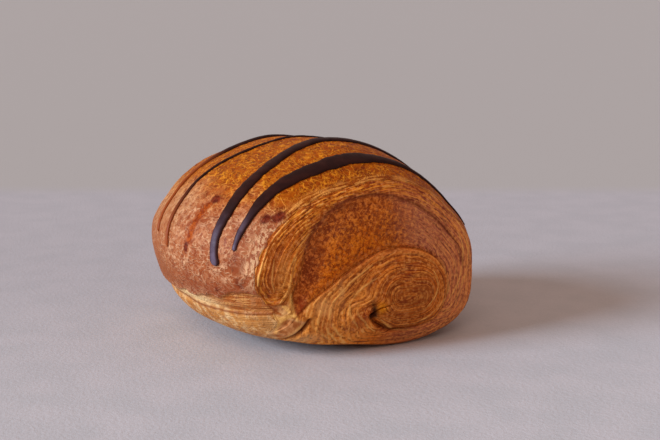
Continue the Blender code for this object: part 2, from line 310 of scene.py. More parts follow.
def lattice(x, y, z, seed):
    """A repeatable random number from -1 to 1 for each whole-numbered point."""
    mixed = (x.astype(np.int64) * 73856093) ^ (y.astype(np.int64) * 19349663)
    mixed ^= (z.astype(np.int64) * 83492791) ^ (seed * 2654435761)
    mixed = (mixed ^ (mixed >> 13)) * 1274126177 & 0xFFFFFFFF
    mixed = (mixed ^ (mixed >> 16)) * 2246822519 & 0xFFFFFFFF
    return ((mixed >> 8) & 0xFFFF) / 32767.5 - 1.0


def noise(x, y, z=0.0, seed=0):
    """Smooth noise from -1 to 1 with features one unit wide."""
    x, y, z = np.broadcast_arrays(x, y, z)
    base = [np.floor(v) for v in (x, y, z)]
    part = [v - b for v, b in zip((x, y, z), base)]
    fade = [p * p * (3.0 - 2.0 * p) for p in part]
    total = 0.0
    for i in (0, 1):
        for j in (0, 1):
            for k in (0, 1):
                weight = (fade[0] if i else 1.0 - fade[0]) * (fade[1] if j else 1.0 - fade[1])
                weight = weight * (fade[2] if k else 1.0 - fade[2])
                total = total + weight * lattice(base[0] + i, base[1] + j, base[2] + k, seed)
    return total


def layered_noise(points, size, octaves=3, seed=0):
    """Noise at a size in metres, with finer and weaker layers on it."""
    total, reach = 0.0, 0.0
    for octave in range(octaves):
        scale = 2.0 ** octave / size
        weight = 0.5 ** octave
        total = total + weight * noise(*(points[..., axis] * scale for axis in range(3)), seed=seed + octave)
        reach += weight
    return total / reach


def crowded(count, start, end, density):
    """Places from start to end, closer together where density is higher."""
    fine = np.linspace(start, end, 4000)
    weight = np.concatenate([[0.0], np.cumsum(density(0.5 * (fine[1:] + fine[:-1])))])
    return np.interp(np.linspace(0.0, weight[-1], count), weight, fine)


# --- form of the roll ---
def taper(key, along):
    return np.where(along < 0.0, FRONT_TAPER[key], REAR_TAPER[key])


def skin_relief(turn, along):
    """How far the skin stands out of, or in from, the smooth section, as a length."""
    below_edge = smoothstep((turn - edge_turn(along)) / SKIN_EDGE_SPAN)
    above_end = 1.0 - smoothstep((turn - TAIL_END_TURN) / TAIL_END_SPAN)
    edge = -SKIN_EDGE_DROP * below_edge * above_end
    groove = -TAIL_GROOVE_DEPTH * bump(turn, TAIL_GROOVE_TURN, TAIL_GROOVE_SPAN)
    waves = sum(np.sin(across * turn + length * along + phase) for across, length, phase in SWELL_WAVES)
    off_base = smoothstep(np.sin(turn) + 0.6)
    return edge + groove + SWELL * (waves - SWELL_SETTLE) * off_base


def skin(turn, along):
    """Points of the skin. turn goes round from +X over the top, along runs from -1 to 1."""
    turn = np.mod(turn, 2.0 * math.pi)
    turn, along = np.broadcast_arrays(turn, along)
    share = np.abs(along) ** taper("power", along)
    half = HALF_WIDTH * (1.0 - taper("width", along) * share)
    crown = CROWN_HEIGHT * (1.0 - taper("crown", along) * share)
    keel = -BASE_SINK + (BASE_SINK + AXIS_HEIGHT * taper("keel", along)) * share
    c, s = np.cos(turn), np.sin(turn)
    upper = smoothstep(0.5 + s)
    power = BASE_POWER + (CROWN_POWER - BASE_POWER) * upper
    rise = np.where(s > 0.0, crown - AXIS_HEIGHT, AXIS_HEIGHT - keel)
    radius = (np.abs(c / half) ** power + np.abs(s / rise) ** power) ** (-1.0 / power)
    uneven = SKEW * np.sin(2.0 * turn) * upper + LOBE_COS * np.cos(3.0 * turn) + LOBE_SIN * np.sin(3.0 * turn)
    radius = radius * (1.0 + uneven) + skin_relief(turn, along)
    z = radius * s
    x = radius * c + LEAN * z + END_DRIFT * along + SIDE_OFFSET
    return np.stack([x, along * ROLL_LENGTH / 2.0, np.maximum(z + AXIS_HEIGHT, 0.0)], -1)


def crease_shift(turn):
    """How far the front crease lies behind its plane, as a length."""
    turn = np.mod(turn, 2.0 * math.pi)
    start, full, leave, end = CUT_SHIFT_TURNS
    cut = smoothstep((turn - start) / (full - start)) * (1.0 - smoothstep((turn - leave) / (end - leave)))
    return CREASE_SHIFT * bump(turn, CREASE_SHIFT_TURN, CREASE_SHIFT_SPAN) + CUT_SHIFT * cut


def edge_turn(along):
    """Where the skin's lower edge lies. It rises towards the front crease."""
    ragged = 0.7 * noise(along * 8.0, 0.0, seed=12) + 0.4 * noise(along * 26.0, 0.0, seed=13)
    return SKIN_EDGE_TURN - EDGE_RISE * (1.0 - smoothstep((along + 1.0) / EDGE_RISE_REACH)) + EDGE_RAGGED * ragged


def column_turns(count):
    even = TIP_TURN + np.arange(count + 1) * 2.0 * math.pi / count
    return even - COLUMN_CROWDING * np.sin(even - TIP_TURN)


def fold_feet(count):
    step = np.arange(count + 1) / count
    reach = np.minimum(np.minimum(step, 1.0 - step) / FOLD_SHARE, 1.0)
    share = np.sin(0.5 * math.pi * reach)[:, None]
    return np.array(TIP) + (np.array(EYE) - np.array(TIP)) * share


def loop_radius(share, outline):
    """The first wrap's outer edge without its last part, which opens out to the outline."""
    tongue = np.minimum(CORE_RADIUS * (1.0 - np.exp(-share / TIP_ROUNDING)), CORE_CLEARANCE * outline)
    start, end = SPREAD_SHARES
    return tongue + LOOP_SPREAD * smoothstep((share - start) / (end - start))


def wrap_radius(share, outline):
    loop = loop_radius(share, outline)
    return loop + (outline - loop) * share ** UNROLL_POWER


def groove_row(share):
    low = GROOVE_FALL * smoothstep((share - GROOVE_FALL_SHARE) / GROOVE_REACH)
    return GROOVE_ROW + GROOVE_RISE * bump(share, GROOVE_TOP_SHARE, GROOVE_REACH) - low


def seam_depth(share):
    slit = SLIT_DEPTH * bump(share, SLIT_SHARE, SLIT_SPAN)
    hole = TIP_HOLE_DEPTH * bump(share, 0.0, TIP_HOLE_SPAN)
    return np.maximum(slit, np.maximum(hole, SEAM_DEPTH * (1.0 - share ** SEAM_FADE_POWER)))


def fold_depth(share):
    reach = np.minimum(share, 1.0 - share) / FOLD_SHARE
    hole = TIP_HOLE_DEPTH * bump(reach, 0.0, FOLD_HOLE_SPAN)
    return np.maximum(hole, FOLD_DEPTH * (1.0 - smoothstep(reach)))


def valley_depth(share, row):
    lower = bump(share, VALLEY_SHARE, VALLEY_SPAN)
    upper = UPPER_VALLEY * bump(share, UPPER_VALLEY_SHARE, UPPER_VALLEY_SPAN)
    across = bump(row, groove_row(share) - VALLEY_ROW_SHIFT, VALLEY_ROW_SPAN)
    return VALLEY_DEPTH * (lower + upper) * across


def end_height(wrap, share, row, inner, outer, outline):
    """How far one wrap of the end stands out of the plane of the crease, without its leaves."""
    radius = inner + (outer - inner) * row
    reach = np.clip(radius / outline, 0.0, 1.0)
    dome = DOME_DEPTH * (1.0 - reach ** DOME_POWER) ** SHOULDER_POWER
    core = CORE_BULGE * (1.0 - smoothstep(radius / CORE_BULGE_REACH))
    inner_depth = seam_depth(share) if wrap else fold_depth(share)
    outer_depth = 0.0 if wrap else seam_depth(share)
    inner_seam = inner_depth * bump(radius - inner, 0.0, SEAM_HALF_WIDTH)
    outer_seam = outer_depth * bump(outer - radius, 0.0, SEAM_HALF_WIDTH)
    valley = wrap * valley_depth(share, row)
    relief = core - np.maximum(inner_seam, outer_seam) - valley
    return dome + relief * smoothstep((outline - radius) / RELIEF_MARGIN)


def leaf_ridges(level, travel, seed):
    """Crests of thin leaves at whole levels, each wandering, fading and swelling along its way."""
    base = np.floor(level)
    crest = np.zeros(np.broadcast(level, travel).shape)
    for step in (-1.0, 0.0, 1.0, 2.0):
        number = base + step
        wander = 0.30 * noise(travel * 0.35, number * 7.3, seed=seed) + 0.10 * noise(travel * 1.3, number * 5.1, seed=seed + 1)
        strength = 0.66 + 0.55 * noise(travel * 0.4, number * 3.7, seed=seed + 2)
        offset = level - number - wander
        width = np.where(offset > 0.0, 0.16, 0.30)
        crest = np.maximum(crest, np.clip(strength, 0.08, 1.0) * np.exp(-((offset / width) ** 2)))
    return crest


# --- meshes ---
def grid_faces(columns, rows, start, outward):
    index = start + np.arange(columns * rows).reshape(columns, rows)
    quads = np.stack([index[:-1, :-1], index[:-1, 1:], index[1:, 1:], index[1:, :-1]], -1).reshape(-1, 4)
    return quads if outward else quads[:, ::-1]


def weld(points, faces):
    """Joins points that lie together. Returns the kept points' indexes and the faces that are left."""
    keys = np.round(points / WELD).astype(np.int64)
    _, first, inverse = np.unique(keys, axis=0, return_index=True, return_inverse=True)
    inverse = inverse.reshape(-1)
    kept = []
    for face in inverse[faces].tolist():
        corners = [c for at, c in enumerate(face) if c != face[at - 1]]
        if len(corners) > 2 and len(set(corners)) == len(corners):
            kept.append(corners)
    return first, kept


def make_piece(name, grids, values):
    """One piece from grids of points. values holds named arrays for each grid's points."""
    points = np.concatenate([grid.reshape(-1, 3) for grid, _ in grids])
    faces, start = [], 0
    for grid, outward in grids:
        columns, rows = grid.shape[:2]
        faces.append(grid_faces(columns, rows, start, outward))
        start += columns * rows
    first, kept = weld(points, np.concatenate(faces))
    mesh = bpy.data.meshes.new(name)
    mesh.from_pydata(points[first].tolist(), [], kept)
    mesh.update()
    normals = np.zeros(len(first) * 3, np.float32)
    mesh.vertex_normals.foreach_get("vector", normals)
    placed = points[first]
    if "relief" in values:
        placed = placed + normals.reshape(-1, 3) * values["relief"][first][:, None]
        placed[:, 2] = np.maximum(placed[:, 2], 0.0)
        mesh.vertices.foreach_set("co", placed.astype(np.float32).ravel())
        mesh.update()
    for key, value in values.items():
        if key != "relief":
            layer = mesh.attributes.new(key, "FLOAT_VECTOR", "POINT")
            layer.data.foreach_set("vector", value[first].astype(np.float32).ravel())
    mesh.shade_smooth()
    piece = bpy.data.objects.new(name, mesh)
    bpy.context.scene.collection.objects.link(piece)
    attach(piece, "root")
    return piece


def skin_frame(turn, along, step=0.002):
    """Points on the skin with its unit outward normal and its unit direction along the roll."""
    here = skin(turn, along)
    round_way = skin(turn + step, along) - skin(turn - step, along)
    long_way = skin(turn, along + step) - skin(turn, along - step)
    normal = np.cross(long_way, round_way)
    normal = normal / np.linalg.norm(normal, axis=-1, keepdims=True)
    long_way = long_way / np.linalg.norm(long_way, axis=-1, keepdims=True)
    return here, normal, long_way


def turn_density(turn):
    """More columns on the layered lower left, fewer underneath."""
    degrees = np.degrees(np.mod(turn, 2.0 * math.pi))
    under = smoothstep((degrees - 216.0) / 10.0) * (1.0 - smoothstep((degrees - 335.0) / 10.0))
    tail = smoothstep((degrees - 180.0) / 4.0) * (1.0 - smoothstep((degrees - 214.0) / 6.0))
    return 1.0 - 0.55 * under + 1.6 * tail


def tail_share(turn, along):
    """1 on the sheet's layered end on the lower left, 0 elsewhere."""
    return smoothstep((turn - edge_turn(along)) / 0.02) * (1.0 - smoothstep((turn - TAIL_END_TURN) / 0.2))


def build_skin():
    """The crust round the roll, closed by caps that lie hidden behind the laminated ends."""
    turns = crowded(SKIN_COLUMNS + 1, 0.0, 2.0 * math.pi, turn_density)
    stations = np.linspace(-1.0, 1.0, SKIN_STATIONS)
    turn, along = np.meshgrid(turns, stations, indexing="ij")
    ragged = 0.5 + 0.5 * noise(np.cos(turns) * 22.0, np.sin(turns) * 22.0, seed=3)
    lip = 0.0006 * (ragged - 0.2) / (ROLL_LENGTH / 2.0)
    edge_distance = (1.0 - np.abs(along)) * ROLL_LENGTH / 2.0
    back = crease_shift(turn) * (1.0 - smoothstep((along + 1.0) / CREASE_SHIFT_REACH))
    along = along + lip[:, None] * (bump(along, 1.0, 0.02) - bump(along, -1.0, 0.02)) + back / (ROLL_LENGTH / 2.0)
    points = skin(turn, along)
    tail = tail_share(turn, along)
    arc = (turn - SKIN_EDGE_TURN) * 0.045
    wavy = arc / TAIL_LEAF_PITCH + 0.9 * noise(points[..., 1] / 0.016, arc / 0.01, seed=9)
    leaves = leaf_ridges(wavy, points[..., 1] / 0.012, 21) * tail_lines(turn, along)
    blisters = layered_noise(points, 0.0011, 2, seed=30)
    wrinkles = layered_noise(points * np.array([1.0, 0.45, 1.0]), 0.0035, 3, seed=40)
    off_base = smoothstep((points[..., 2] - 0.0008) / 0.003)
    relief = BLISTER_HEIGHT * blisters + WRINKLE_HEIGHT * wrinkles
    relief = relief * (1.0 - 0.6 * tail) + TAIL_LEAF_HEIGHT * (leaves - 0.4) * tail
    relief = relief * off_base + 0.00012 * bump(edge_distance, 0.0, 0.0006)
    relief = relief.reshape(-1)

    rows = []
    for side in (-1, 1):
        edge = points[:, 0 if side < 0 else -1]
        middle = edge.mean(0)
        tucked = edge + (middle - edge) * 0.018
        deep = tucked.copy()
        deep[:, 1] = edge[:, 1] - side * 0.004
        centre = np.repeat(np.array([[middle[0], deep[0, 1], middle[2]]]), len(edge), 0)
        rows.append((np.stack([edge, tucked, deep, centre], 1), side > 0))
    tone = skin_tone(turn, along, points, leaves, tail)
    grids = [(points, True)] + rows
    fill = [np.zeros(g.shape[0] * g.shape[1]) for g, _ in rows]
    values = {"relief": np.concatenate([relief] + fill)}
    for key, value in tone.items():
        blank = [np.zeros((len(f), 3)) for f in fill]
        values[key] = np.concatenate([value.reshape(-1, 3)] + blank)
    piece = make_piece("crust_skin", grids, values)
    piece.data.materials.append(crust_material())
    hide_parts("pastry_roll")
    return piece


def tail_lines(turn, along):
    """Where the layered end of the sheet shows its thin leaves: above its lip and towards the cut."""
    degrees = np.degrees(turn)
    above_lip = 1.0 - smoothstep((degrees - 189.5) / 1.5)
    near_cut = 1.0 - smoothstep((along + 0.72) / 0.22)
    low = smoothstep((degrees - 197.0) / 3.0)
    return np.clip(np.maximum(above_lip, near_cut) * (1.0 - low) + 0.30, 0.0, 1.0)


def skin_tone(turn, along, points, leaves, tail):
    """What the crust's material reads: pale, dark and golden shares, and the leaves of the tail."""
    degrees = np.degrees(turn)
    wander = layered_noise(points, 0.007, 3, seed=44)
    front = 1.0 - smoothstep((along + 1.0 + 0.05 * wander) / 0.15)
    side_band = smoothstep((degrees - 140.0 + 5.0 * wander) / 14.0) * (1.0 - smoothstep((degrees - 184.0) / 4.0))
    far = 6.0 * smoothstep((along + 0.1) / 0.5)
    golden = smoothstep((159.0 + far + 10.0 * wander - degrees) / 23.0) * smoothstep(degrees / 20.0)
    under = smoothstep((degrees - 212.0) / 20.0) * (1.0 - smoothstep((degrees - 350.0) / 12.0))
    spots = 0.0
    for turn_at, along_at, turn_half, along_half, strength in CRUST_SPOTS:
        away = ((degrees - turn_at) / turn_half) ** 2 + ((along - along_at) / along_half) ** 2
        spots = np.maximum(spots, strength * (1.0 - smoothstep((away - 0.5 + 0.6 * wander) / 1.2)))
    edge = bump(degrees, 183.5 + 1.5 * wander, 3.5)
    near_base = 1.0 - smoothstep((points[..., 2] - 0.001) / 0.008)
    track_length = smoothstep((degrees - 149.0) / 4.0) * (1.0 - smoothstep((degrees - 166.0) / 5.0))
    track = np.clip(1.5 * bump(along, -0.33 + 0.02 * wander, 0.040) * track_length, 0.0, 1.0)
    from_edge = (1.0 + along) * ROLL_LENGTH / 2.0 - crease_shift(turn)
    fringe = (1.0 - smoothstep(from_edge / 0.0030)) * (1.0 - smoothstep((degrees - 142.0) / 12.0))
    lip_turn = 190.0 - 1.5 * smoothstep((along + 0.30) / 0.5)
    lip = bump(degrees, lip_turn + 0.6 * wander, 2.3) * smoothstep((along + 0.70) / 0.45)
    groove = bump(degrees, lip_turn + 3.0 + 0.5 * wander, 0.55) * (1.0 - 0.7 * smoothstep((along - 0.1) / 0.3))
    upper_end = lip_turn - 1.2 + 3.0 * (1.0 - smoothstep((along + 0.75) / 0.4))
    upper = (1.0 - smoothstep((degrees - upper_end) / 1.5)) * (1.0 - 0.7 * smoothstep((along + 0.40) / 0.5))
    lens = bump(along, -0.93, 0.07) * bump(degrees, 198.0, 5.0)
    sandy = bump(degrees + 4.0 * wander, 154.0, 11.0) * smoothstep((along + 0.25) / 0.30)
    russet = bump(degrees + 3.0 * wander, 177.0, 7.0)
    return {
        "crust_shares": np.stack([front * side_band, golden, tail], -1),
        "crust_marks": np.stack([spots, edge, np.maximum(under, near_base)], -1),
        "crust_leaf": np.stack([leaves * tail, along * ROLL_LENGTH / 2.0, turn * 0.045], -1),
        "crust_tail": np.stack([lip, groove, upper], -1),
        "crust_more": np.stack([track, fringe, smoothstep((along + 0.2) / 0.5)], -1),
        "crust_more_patches": np.stack([lens, sandy, russet], -1),
    }


def build_end(side):
    """One laminated end as a closed plate: the spiral sheet's two wraps, with every leaf."""
    count, row_count = END_COLUMNS[side], END_ROWS[side]
    turns = column_turns(count)
    back = crease_shift(turns) if side < 0 else 0.0 * turns
    ring = skin(turns, side + back / (ROLL_LENGTH / 2.0))[:, [0, 2]]
    feet = fold_feet(count)
    outline = np.linalg.norm(ring - feet, axis=1)[:, None]
    share = (np.arange(count + 1) / count)[:, None]
    row = crowded(row_count, 0.0, 1.0, lambda r: 1.0 + ROW_CROWDING * (2.0 * r - 1.0))[None, :]
    first = wrap_radius(share, outline)
    grids, relief, leaf, tone, marks, hues, pale, lines, core, shade = [], [], [], [], [], [], [], [], [], []
    for wrap in (0, 1):
        inner, outer = (first, outline) if wrap else (0.0 * first, first)
        radius = inner + (outer - inner) * row
        place = feet[:, None, :] + (ring - feet)[:, None, :] * (radius / outline)[..., None]
        height = end_height(wrap, share, row, inner, outer, outline)
        shifted = back[:, None] * (radius / outline) ** CREASE_SHIFT_POWER
        points = np.stack([place[..., 0], side * (ROLL_LENGTH / 2.0 + height) + shifted, place[..., 1]], -1)
        if wrap:
            points[:, 0] = grids[0][0][:, -1]
        face = {"wrap": wrap, "share": share, "row": row, "radius": radius, "inner": inner, "outer": outer}
        face["outline"] = outline
        face["points"] = points
        level, travel = leaf_level(face)
        strength, smooth, paren = leaf_strength(face)
        ridges = leaf_ridges(level, travel, 50 + 7 * side)
        fine = leaf_ridges(level * 2.0 + 0.5, travel * 0.7, 60 + 7 * side)
        cut, seam = cut_end(face) if side < 0 else (0.0 * radius, 0.0 * radius)
        margins = np.minimum(radius - inner, outer - radius)
        inside = smoothstep(margins / 0.0005) * smoothstep((outline - radius) / 0.0005)
        inside = inside * smoothstep((outer - inner) / 0.004)
        grain = layered_noise(points, 0.0016, 2, seed=70)
        heights = LEAF_HEIGHT * (ridges - 0.35) * strength * (1.0 + 0.6 * rim_share(face))
        heights = heights + FINE_LEAF_HEIGHT * (fine - 0.3) * (0.4 + 0.6 * strength)
        below = below_lobe(face)
        thin_line = line_share(points, PALE_LINES, PALE_LINE_HALF_WIDTH)
        ridge_line = line_share(points, RIDGE_LINES, RIDGE_HALF_WIDTH)
        pale_line = np.maximum(thin_line, np.minimum(1.6 * ridge_line, 1.0))
        dark_line = line_share(points, DARK_LINES, DARK_LINE_HALF_WIDTH)
        heights = heights * (1.0 - cut) * (1.0 - 0.8 * below) + 0.00008 * grain + LIP_HEIGHT * lip_share(face)
        heights = heights + LINE_HEIGHT * (thin_line + 0.4 * ridge_line - dark_line) - BELOW_LOBE_DEPTH * below
        relief.append((heights * inside - CUT_SEAM_DEPTH * seam).reshape(-1))
        grids.append((points, side < 0))
        crest = np.clip(ridges * strength + 0.30 * fine * strength, 0.0, 1.0) * (1.0 - cut) * (1.0 - below)
        leaf.append(pack(level, travel, crest))
        # The second share is painted shade in the end's recesses and in the cut end's seam
        tone.append(pack(smooth, np.maximum(recess_shade(face), seam), paren))
        marks.append(pack(cut, lip_share(face), rim_share(face)))
        hues.append(face_hues(face))
        pale.append(face_pale(face, cut))
        front = 1.0 if side < 0 else 0.0
        lines.append(pack(pale_line, dark_line, below))
        # Painted shade, twice as strong round the band's rounded lower end
        shaded = patches(points, PAINTED_SHADE_PATCHES) + 2.0 * patches(points, LOBE_SHADE)
        shade.append(pack(front * shaded, front * arc_share(face), 1.0 - wrap + 0.0 * radius))
        spots = [front * patches(points, places) for places in (HOLE_SHADOW_PATCHES, GLOW_PATCHES, RED_AND_SHADOW_PATCHES)]
        core.append(pack(*spots))
    edge = np.stack([ring[:, 0], side * ROLL_LENGTH / 2.0 + back, ring[:, 1]], -1)
    deep = edge + (edge.mean(0) - edge) * 0.03
    deep[:, 1] = edge[:, 1] - side * 0.003
    centre = np.repeat(np.array([[edge[:, 0].mean(), deep[0, 1], edge[:, 2].mean()]]), count + 1, 0)
    rim = np.stack([edge, deep, centre], 1)
    grids.append((rim, side < 0))
    blank = np.zeros((rim.shape[0] * rim.shape[1], 3))
    values = {
        "relief": np.concatenate(relief + [blank[:, 0]]),
        "leaf": np.concatenate(leaf + [blank]),
        "tone": np.concatenate(tone + [blank]),
        "marks": np.concatenate(marks + [blank]),
        "hues": np.concatenate(hues + [blank]),
        "pale": np.concatenate(pale + [blank]),
        "lines": np.concatenate(lines + [blank]),
        "core": np.concatenate(core + [blank]),
        "shade": np.concatenate(shade + [blank]),
    }
    piece = make_piece("laminated_front" if side < 0 else "laminated_rear", grids, values)
    piece.data.materials.append(end_material())
    return piece


def pack(*parts):
    """Three arrays as one array of vectors."""
    return np.stack(np.broadcast_arrays(*parts), -1).reshape(-1, 3)


def nest_level(points):
    """Leaves counted from the middle of the arcs that lie nested to the left of the tongue."""
    across = points[..., 0] - NEST_MIDDLE[0]
    up = points[..., 2] - NEST_MIDDLE[1]
    return np.hypot(across, up) / LEAF_PITCH + NEST_LEVEL


def core_level(points):
    """Leaves counted from the line in the middle of the tongue."""
    (x0, z0), (x1, z1) = CORE_LINE
    across, up = points[..., 0] - x0, points[..., 2] - z0
    along = (across * (x1 - x0) + up * (z1 - z0)) / ((x1 - x0) ** 2 + (z1 - z0) ** 2)
    along = np.clip(along, 0.0, 1.0)
    away = np.hypot(across - along * (x1 - x0), up - along * (z1 - z0))
    return (np.hypot(away, CORE_ROUNDING) - CORE_ROUNDING) / CORE_LEAF_PITCH


def lobe_reach(points):
    """Below 1 inside the band's rounded lower end, 1 on its edge."""
    across = (points[..., 0] - LOBE_MIDDLE[0]) / LOBE_HALF[0]
    up = (points[..., 2] - LOBE_MIDDLE[1]) / LOBE_HALF[1]
    return np.hypot(across, up)


def below_lobe(face):
    """1 on the pale dough below the band's rounded end, 0 elsewhere."""
    points = face["points"]
    if not face["wrap"] or points[0, 0, 1] > 0.0:
        return 0.0 * face["radius"]
    left = smoothstep((-0.0254 - points[..., 0]) / 0.0012)
    low = smoothstep((0.0215 - points[..., 2]) / 0.002)
    return smoothstep((lobe_reach(points) - 1.0) / 0.10) * left * low


def leaf_level(face):
    """Counts leaves across the sheet, and the way along it. A leaf shows at each whole number."""
    wrap, share, radius, outline = face["wrap"], face["share"], face["radius"], face["outline"]
    points = face["points"]
    nest = nest_level(points)
    if wrap:
        rim_level = RIM_LEVEL - (outline - radius) / RIM_LEAF_PITCH
        if points[0, 0, 1] < 0.0:
            lobe_level = RIM_LEVEL - (1.0 - lobe_reach(points)) * LOBE_HALF[0] / RIM_LEAF_PITCH
            low = smoothstep((LOBE_TOP - points[..., 2]) / LOBE_FADE) * smoothstep((-0.0245 - points[..., 0]) / 0.001)
            rim_level = rim_level + (lobe_level - rim_level) * low
        level = nest + (rim_level - nest) * smoothstep((share - 0.10) / 0.16)
    else:
        loop = np.maximum(loop_radius(share, outline), 0.75 * CORE_RADIUS)
        loop_level = LOOP_LEAVES * radius / loop
        inner_level = core_level(points)
        loop_level = inner_level + (loop_level - inner_level) * smoothstep((radius / loop - 0.40) / 0.45)
        level = loop_level + (nest - loop_level) * smoothstep((share - 0.86) / 0.10)
    warp = 0.70 * layered_noise(points, 0.010, 2, seed=80) + 0.22 * layered_noise(points, 0.0030, 2, seed=83)
    travel = 2.0 * math.pi * (wrap + share) * (radius + 0.005) / TRAVEL_UNIT
    return level + warp, travel


def leaf_strength(face):
    """How clearly leaves show, the share of smooth face, and the share of pale nested leaves."""
    wrap, share, row = face["wrap"], face["share"], face["row"]
    turned = wrap + share
    paren = smoothstep((turned - 0.80) / 0.10) * (1.0 - smoothstep((turned - 1.10) / 0.10))
    paren = paren * smoothstep((face["radius"] - 0.006) / 0.006)
    centre = 1.0 - smoothstep((core_level(face["points"]) - 1.0) / 2.0)
    smooth = 0.5 * centre + 0.0 * share * row
    strength = 0.62 + 0.25 * smoothstep((face["radius"] - 0.008) / 0.010) * smoothstep((share - 0.55) / 0.3)
    if wrap:
        groove = groove_row(share)
        across = smoothstep((row - 0.01) / 0.10) * (1.0 - smoothstep((row - groove + 0.04) / 0.05))
        along = smoothstep((share - 0.42) / 0.14) * (1.0 - smoothstep((share - 0.955) / 0.03))
        smooth = across * along
        strength = 0.60 + 0.40 * smoothstep((share - 0.60) / 0.15)
    strength = np.maximum(strength, paren) * (1.0 - 0.92 * smooth)
    return strength, smooth, paren


def lip_share(face):
    """1 along the first wrap's outer edge, where the tongue's loop stands out as a pale lip."""
    share = face["share"]
    distance = face["radius"] - face["inner"] if face["wrap"] else face["outer"] - face["radius"]
    along = smoothstep((share - 0.36) / 0.12) * (1.0 - smoothstep((share - 0.89) / 0.05))
    top = bump(share, 0.62, 0.12)
    if face["wrap"]:
        return 0.0 * along * distance
    return along * bump(distance, 0.0007 + 0.0004 * top, 0.0006 + 0.0004 * top)


def arc_share(face):
    """1 in the purple-brown furrow round the top of the smooth face."""
    if not face["wrap"]:
        return 0.0 * face["radius"]
    points = face["points"]
    from_groove = (face["row"] - groove_row(face["share"])) * (face["outer"] - face["inner"])
    wander = 0.0007 * layered_noise(points, 0.005, 2, seed=103)
    high = smoothstep((points[..., 2] - 0.0300) / 0.0080) * smoothstep((face["share"] - 0.35) / 0.15)
    return bump(from_groove + wander, 0.0001, 0.0009) * high


def rim_share(face):
    """1 in the bundle of bright strands beside the crease, and in the one outside the groove."""
    turned = smoothstep((face["wrap"] + face["share"] - 1.40) / 0.2)
    from_crease = face["outline"] - face["radius"]
    if not face["wrap"]:
        return 0.0 * from_crease
    from_groove = (face["row"] - groove_row(face["share"])) * (face["outer"] - face["inner"])
    bundles = bump(from_crease, 0.0012, 0.0017) + 0.8 * bump(from_groove, 0.0030, 0.0022)
    return np.clip(bundles, 0.0, 1.0) * turned


def recess_shade(face):
    """Painted shade in the end's recesses: how dark the seams, the hole at the tip, the slit, the groove and the line
    outside the lip are painted.
    """
    wrap, share, row = face["wrap"], face["share"], face["row"]
    radius, inner, outer = face["radius"], face["inner"], face["outer"]
    inner_depth = seam_depth(share) if wrap else fold_depth(share) * bump(np.minimum(share, 1.0 - share), 0.0, 0.018)
    outer_depth = 0.0 * share if wrap else seam_depth(share)
    half = 0.0004 + 0.0007 * bump(np.minimum(share, 1.0 - share), 0.0, 0.05)
    seam = np.maximum(inner_depth * bump(radius - inner, 0.0, half), outer_depth * bump(outer - radius, 0.0, half))
    seam = seam * (1.0 - 0.75 * smoothstep((share - 0.30) / 0.12) * (1.0 - smoothstep((share - 0.97) / 0.02)))
    groove = 0.0
    if wrap:
        from_groove = (row - groove_row(share)) * (outer - inner)
        groove = 0.50 * bump(from_groove, 0.0, 0.0004) * smoothstep((share - 0.35) / 0.15)
        if face["points"][0, 0, 1] < 0.0:
            groove = groove * smoothstep((face["points"][..., 2] - 0.0180) / 0.0040)
        outside_lip = smoothstep((share - 0.30) / 0.12) * (1.0 - smoothstep((share - 0.93) / 0.05))
        groove = groove + 0.10 * outside_lip * bump(radius - inner, 0.0, 0.0007)
    return np.clip(seam / 0.0036 + groove, 0.0, 1.0)


def line_share(points, lines, half_width):
    """1 along each line of the face, thinner towards the line's ends."""
    total = np.zeros(points.shape[:2])
    if points[0, 0, 1] > 0.0:
        return total
    moved = points + 0.00035 * layered_noise(points, 0.004, 2, seed=97)[..., None]
    x, z = moved[..., 0], moved[..., 2]
    share = np.linspace(0.0, 1.0, LINE_STEPS + 1)
    for line in lines:
        knots = np.array(line) * MILLIMETRE
        line_x, line_z = smooth_through(knots[:, 0], share), smooth_through(knots[:, 1], share)
        for step in range(LINE_STEPS):
            dx, dz = line_x[step + 1] - line_x[step], line_z[step + 1] - line_z[step]
            along = ((x - line_x[step]) * dx + (z - line_z[step]) * dz) / (dx * dx + dz * dz)
            along = np.clip(along, 0.0, 1.0)
            gap = np.hypot(x - line_x[step] - along * dx, z - line_z[step] - along * dz)
            width = half_width * (0.45 + 0.55 * np.sin(math.pi * (step + along) / LINE_STEPS))
            total = np.maximum(total, np.exp(-((gap / width) ** 2)))
    return total * np.clip(0.62 + 0.75 * layered_noise(points, 0.0040, 2, seed=99), 0.1, 1.0)


def patches(points, places):
    """1 in the middle of each patch of the face, falling off softly."""
    total = 0.0
    for x, z, half_width, half_height in places:
        across = (points[..., 0] - x) / half_width
        up = (points[..., 2] - z) / half_height
        total = total + np.exp(-(across ** 2 + up ** 2))
    return np.clip(total, 0.0, 1.0)


def face_hues(face):
    """Shares of purple-brown, bright orange and the valley's dark red-brown."""
    points = face["points"]
    moved = points + 0.0025 * layered_noise(points, 0.009, 2, seed=95)[..., None]
    front = 1.0 if points[0, 0, 1] < 0.0 else 0.0
    valley = patches(moved, VALLEY_PATCHES) * front
    if face["wrap"]:
        valley = np.maximum(valley, valley_depth(face["share"], face["row"]) / VALLEY_DEPTH)
    return pack(patches(moved, PURPLE_PATCHES) * front, patches(moved, ORANGE_PATCHES) * front, valley)


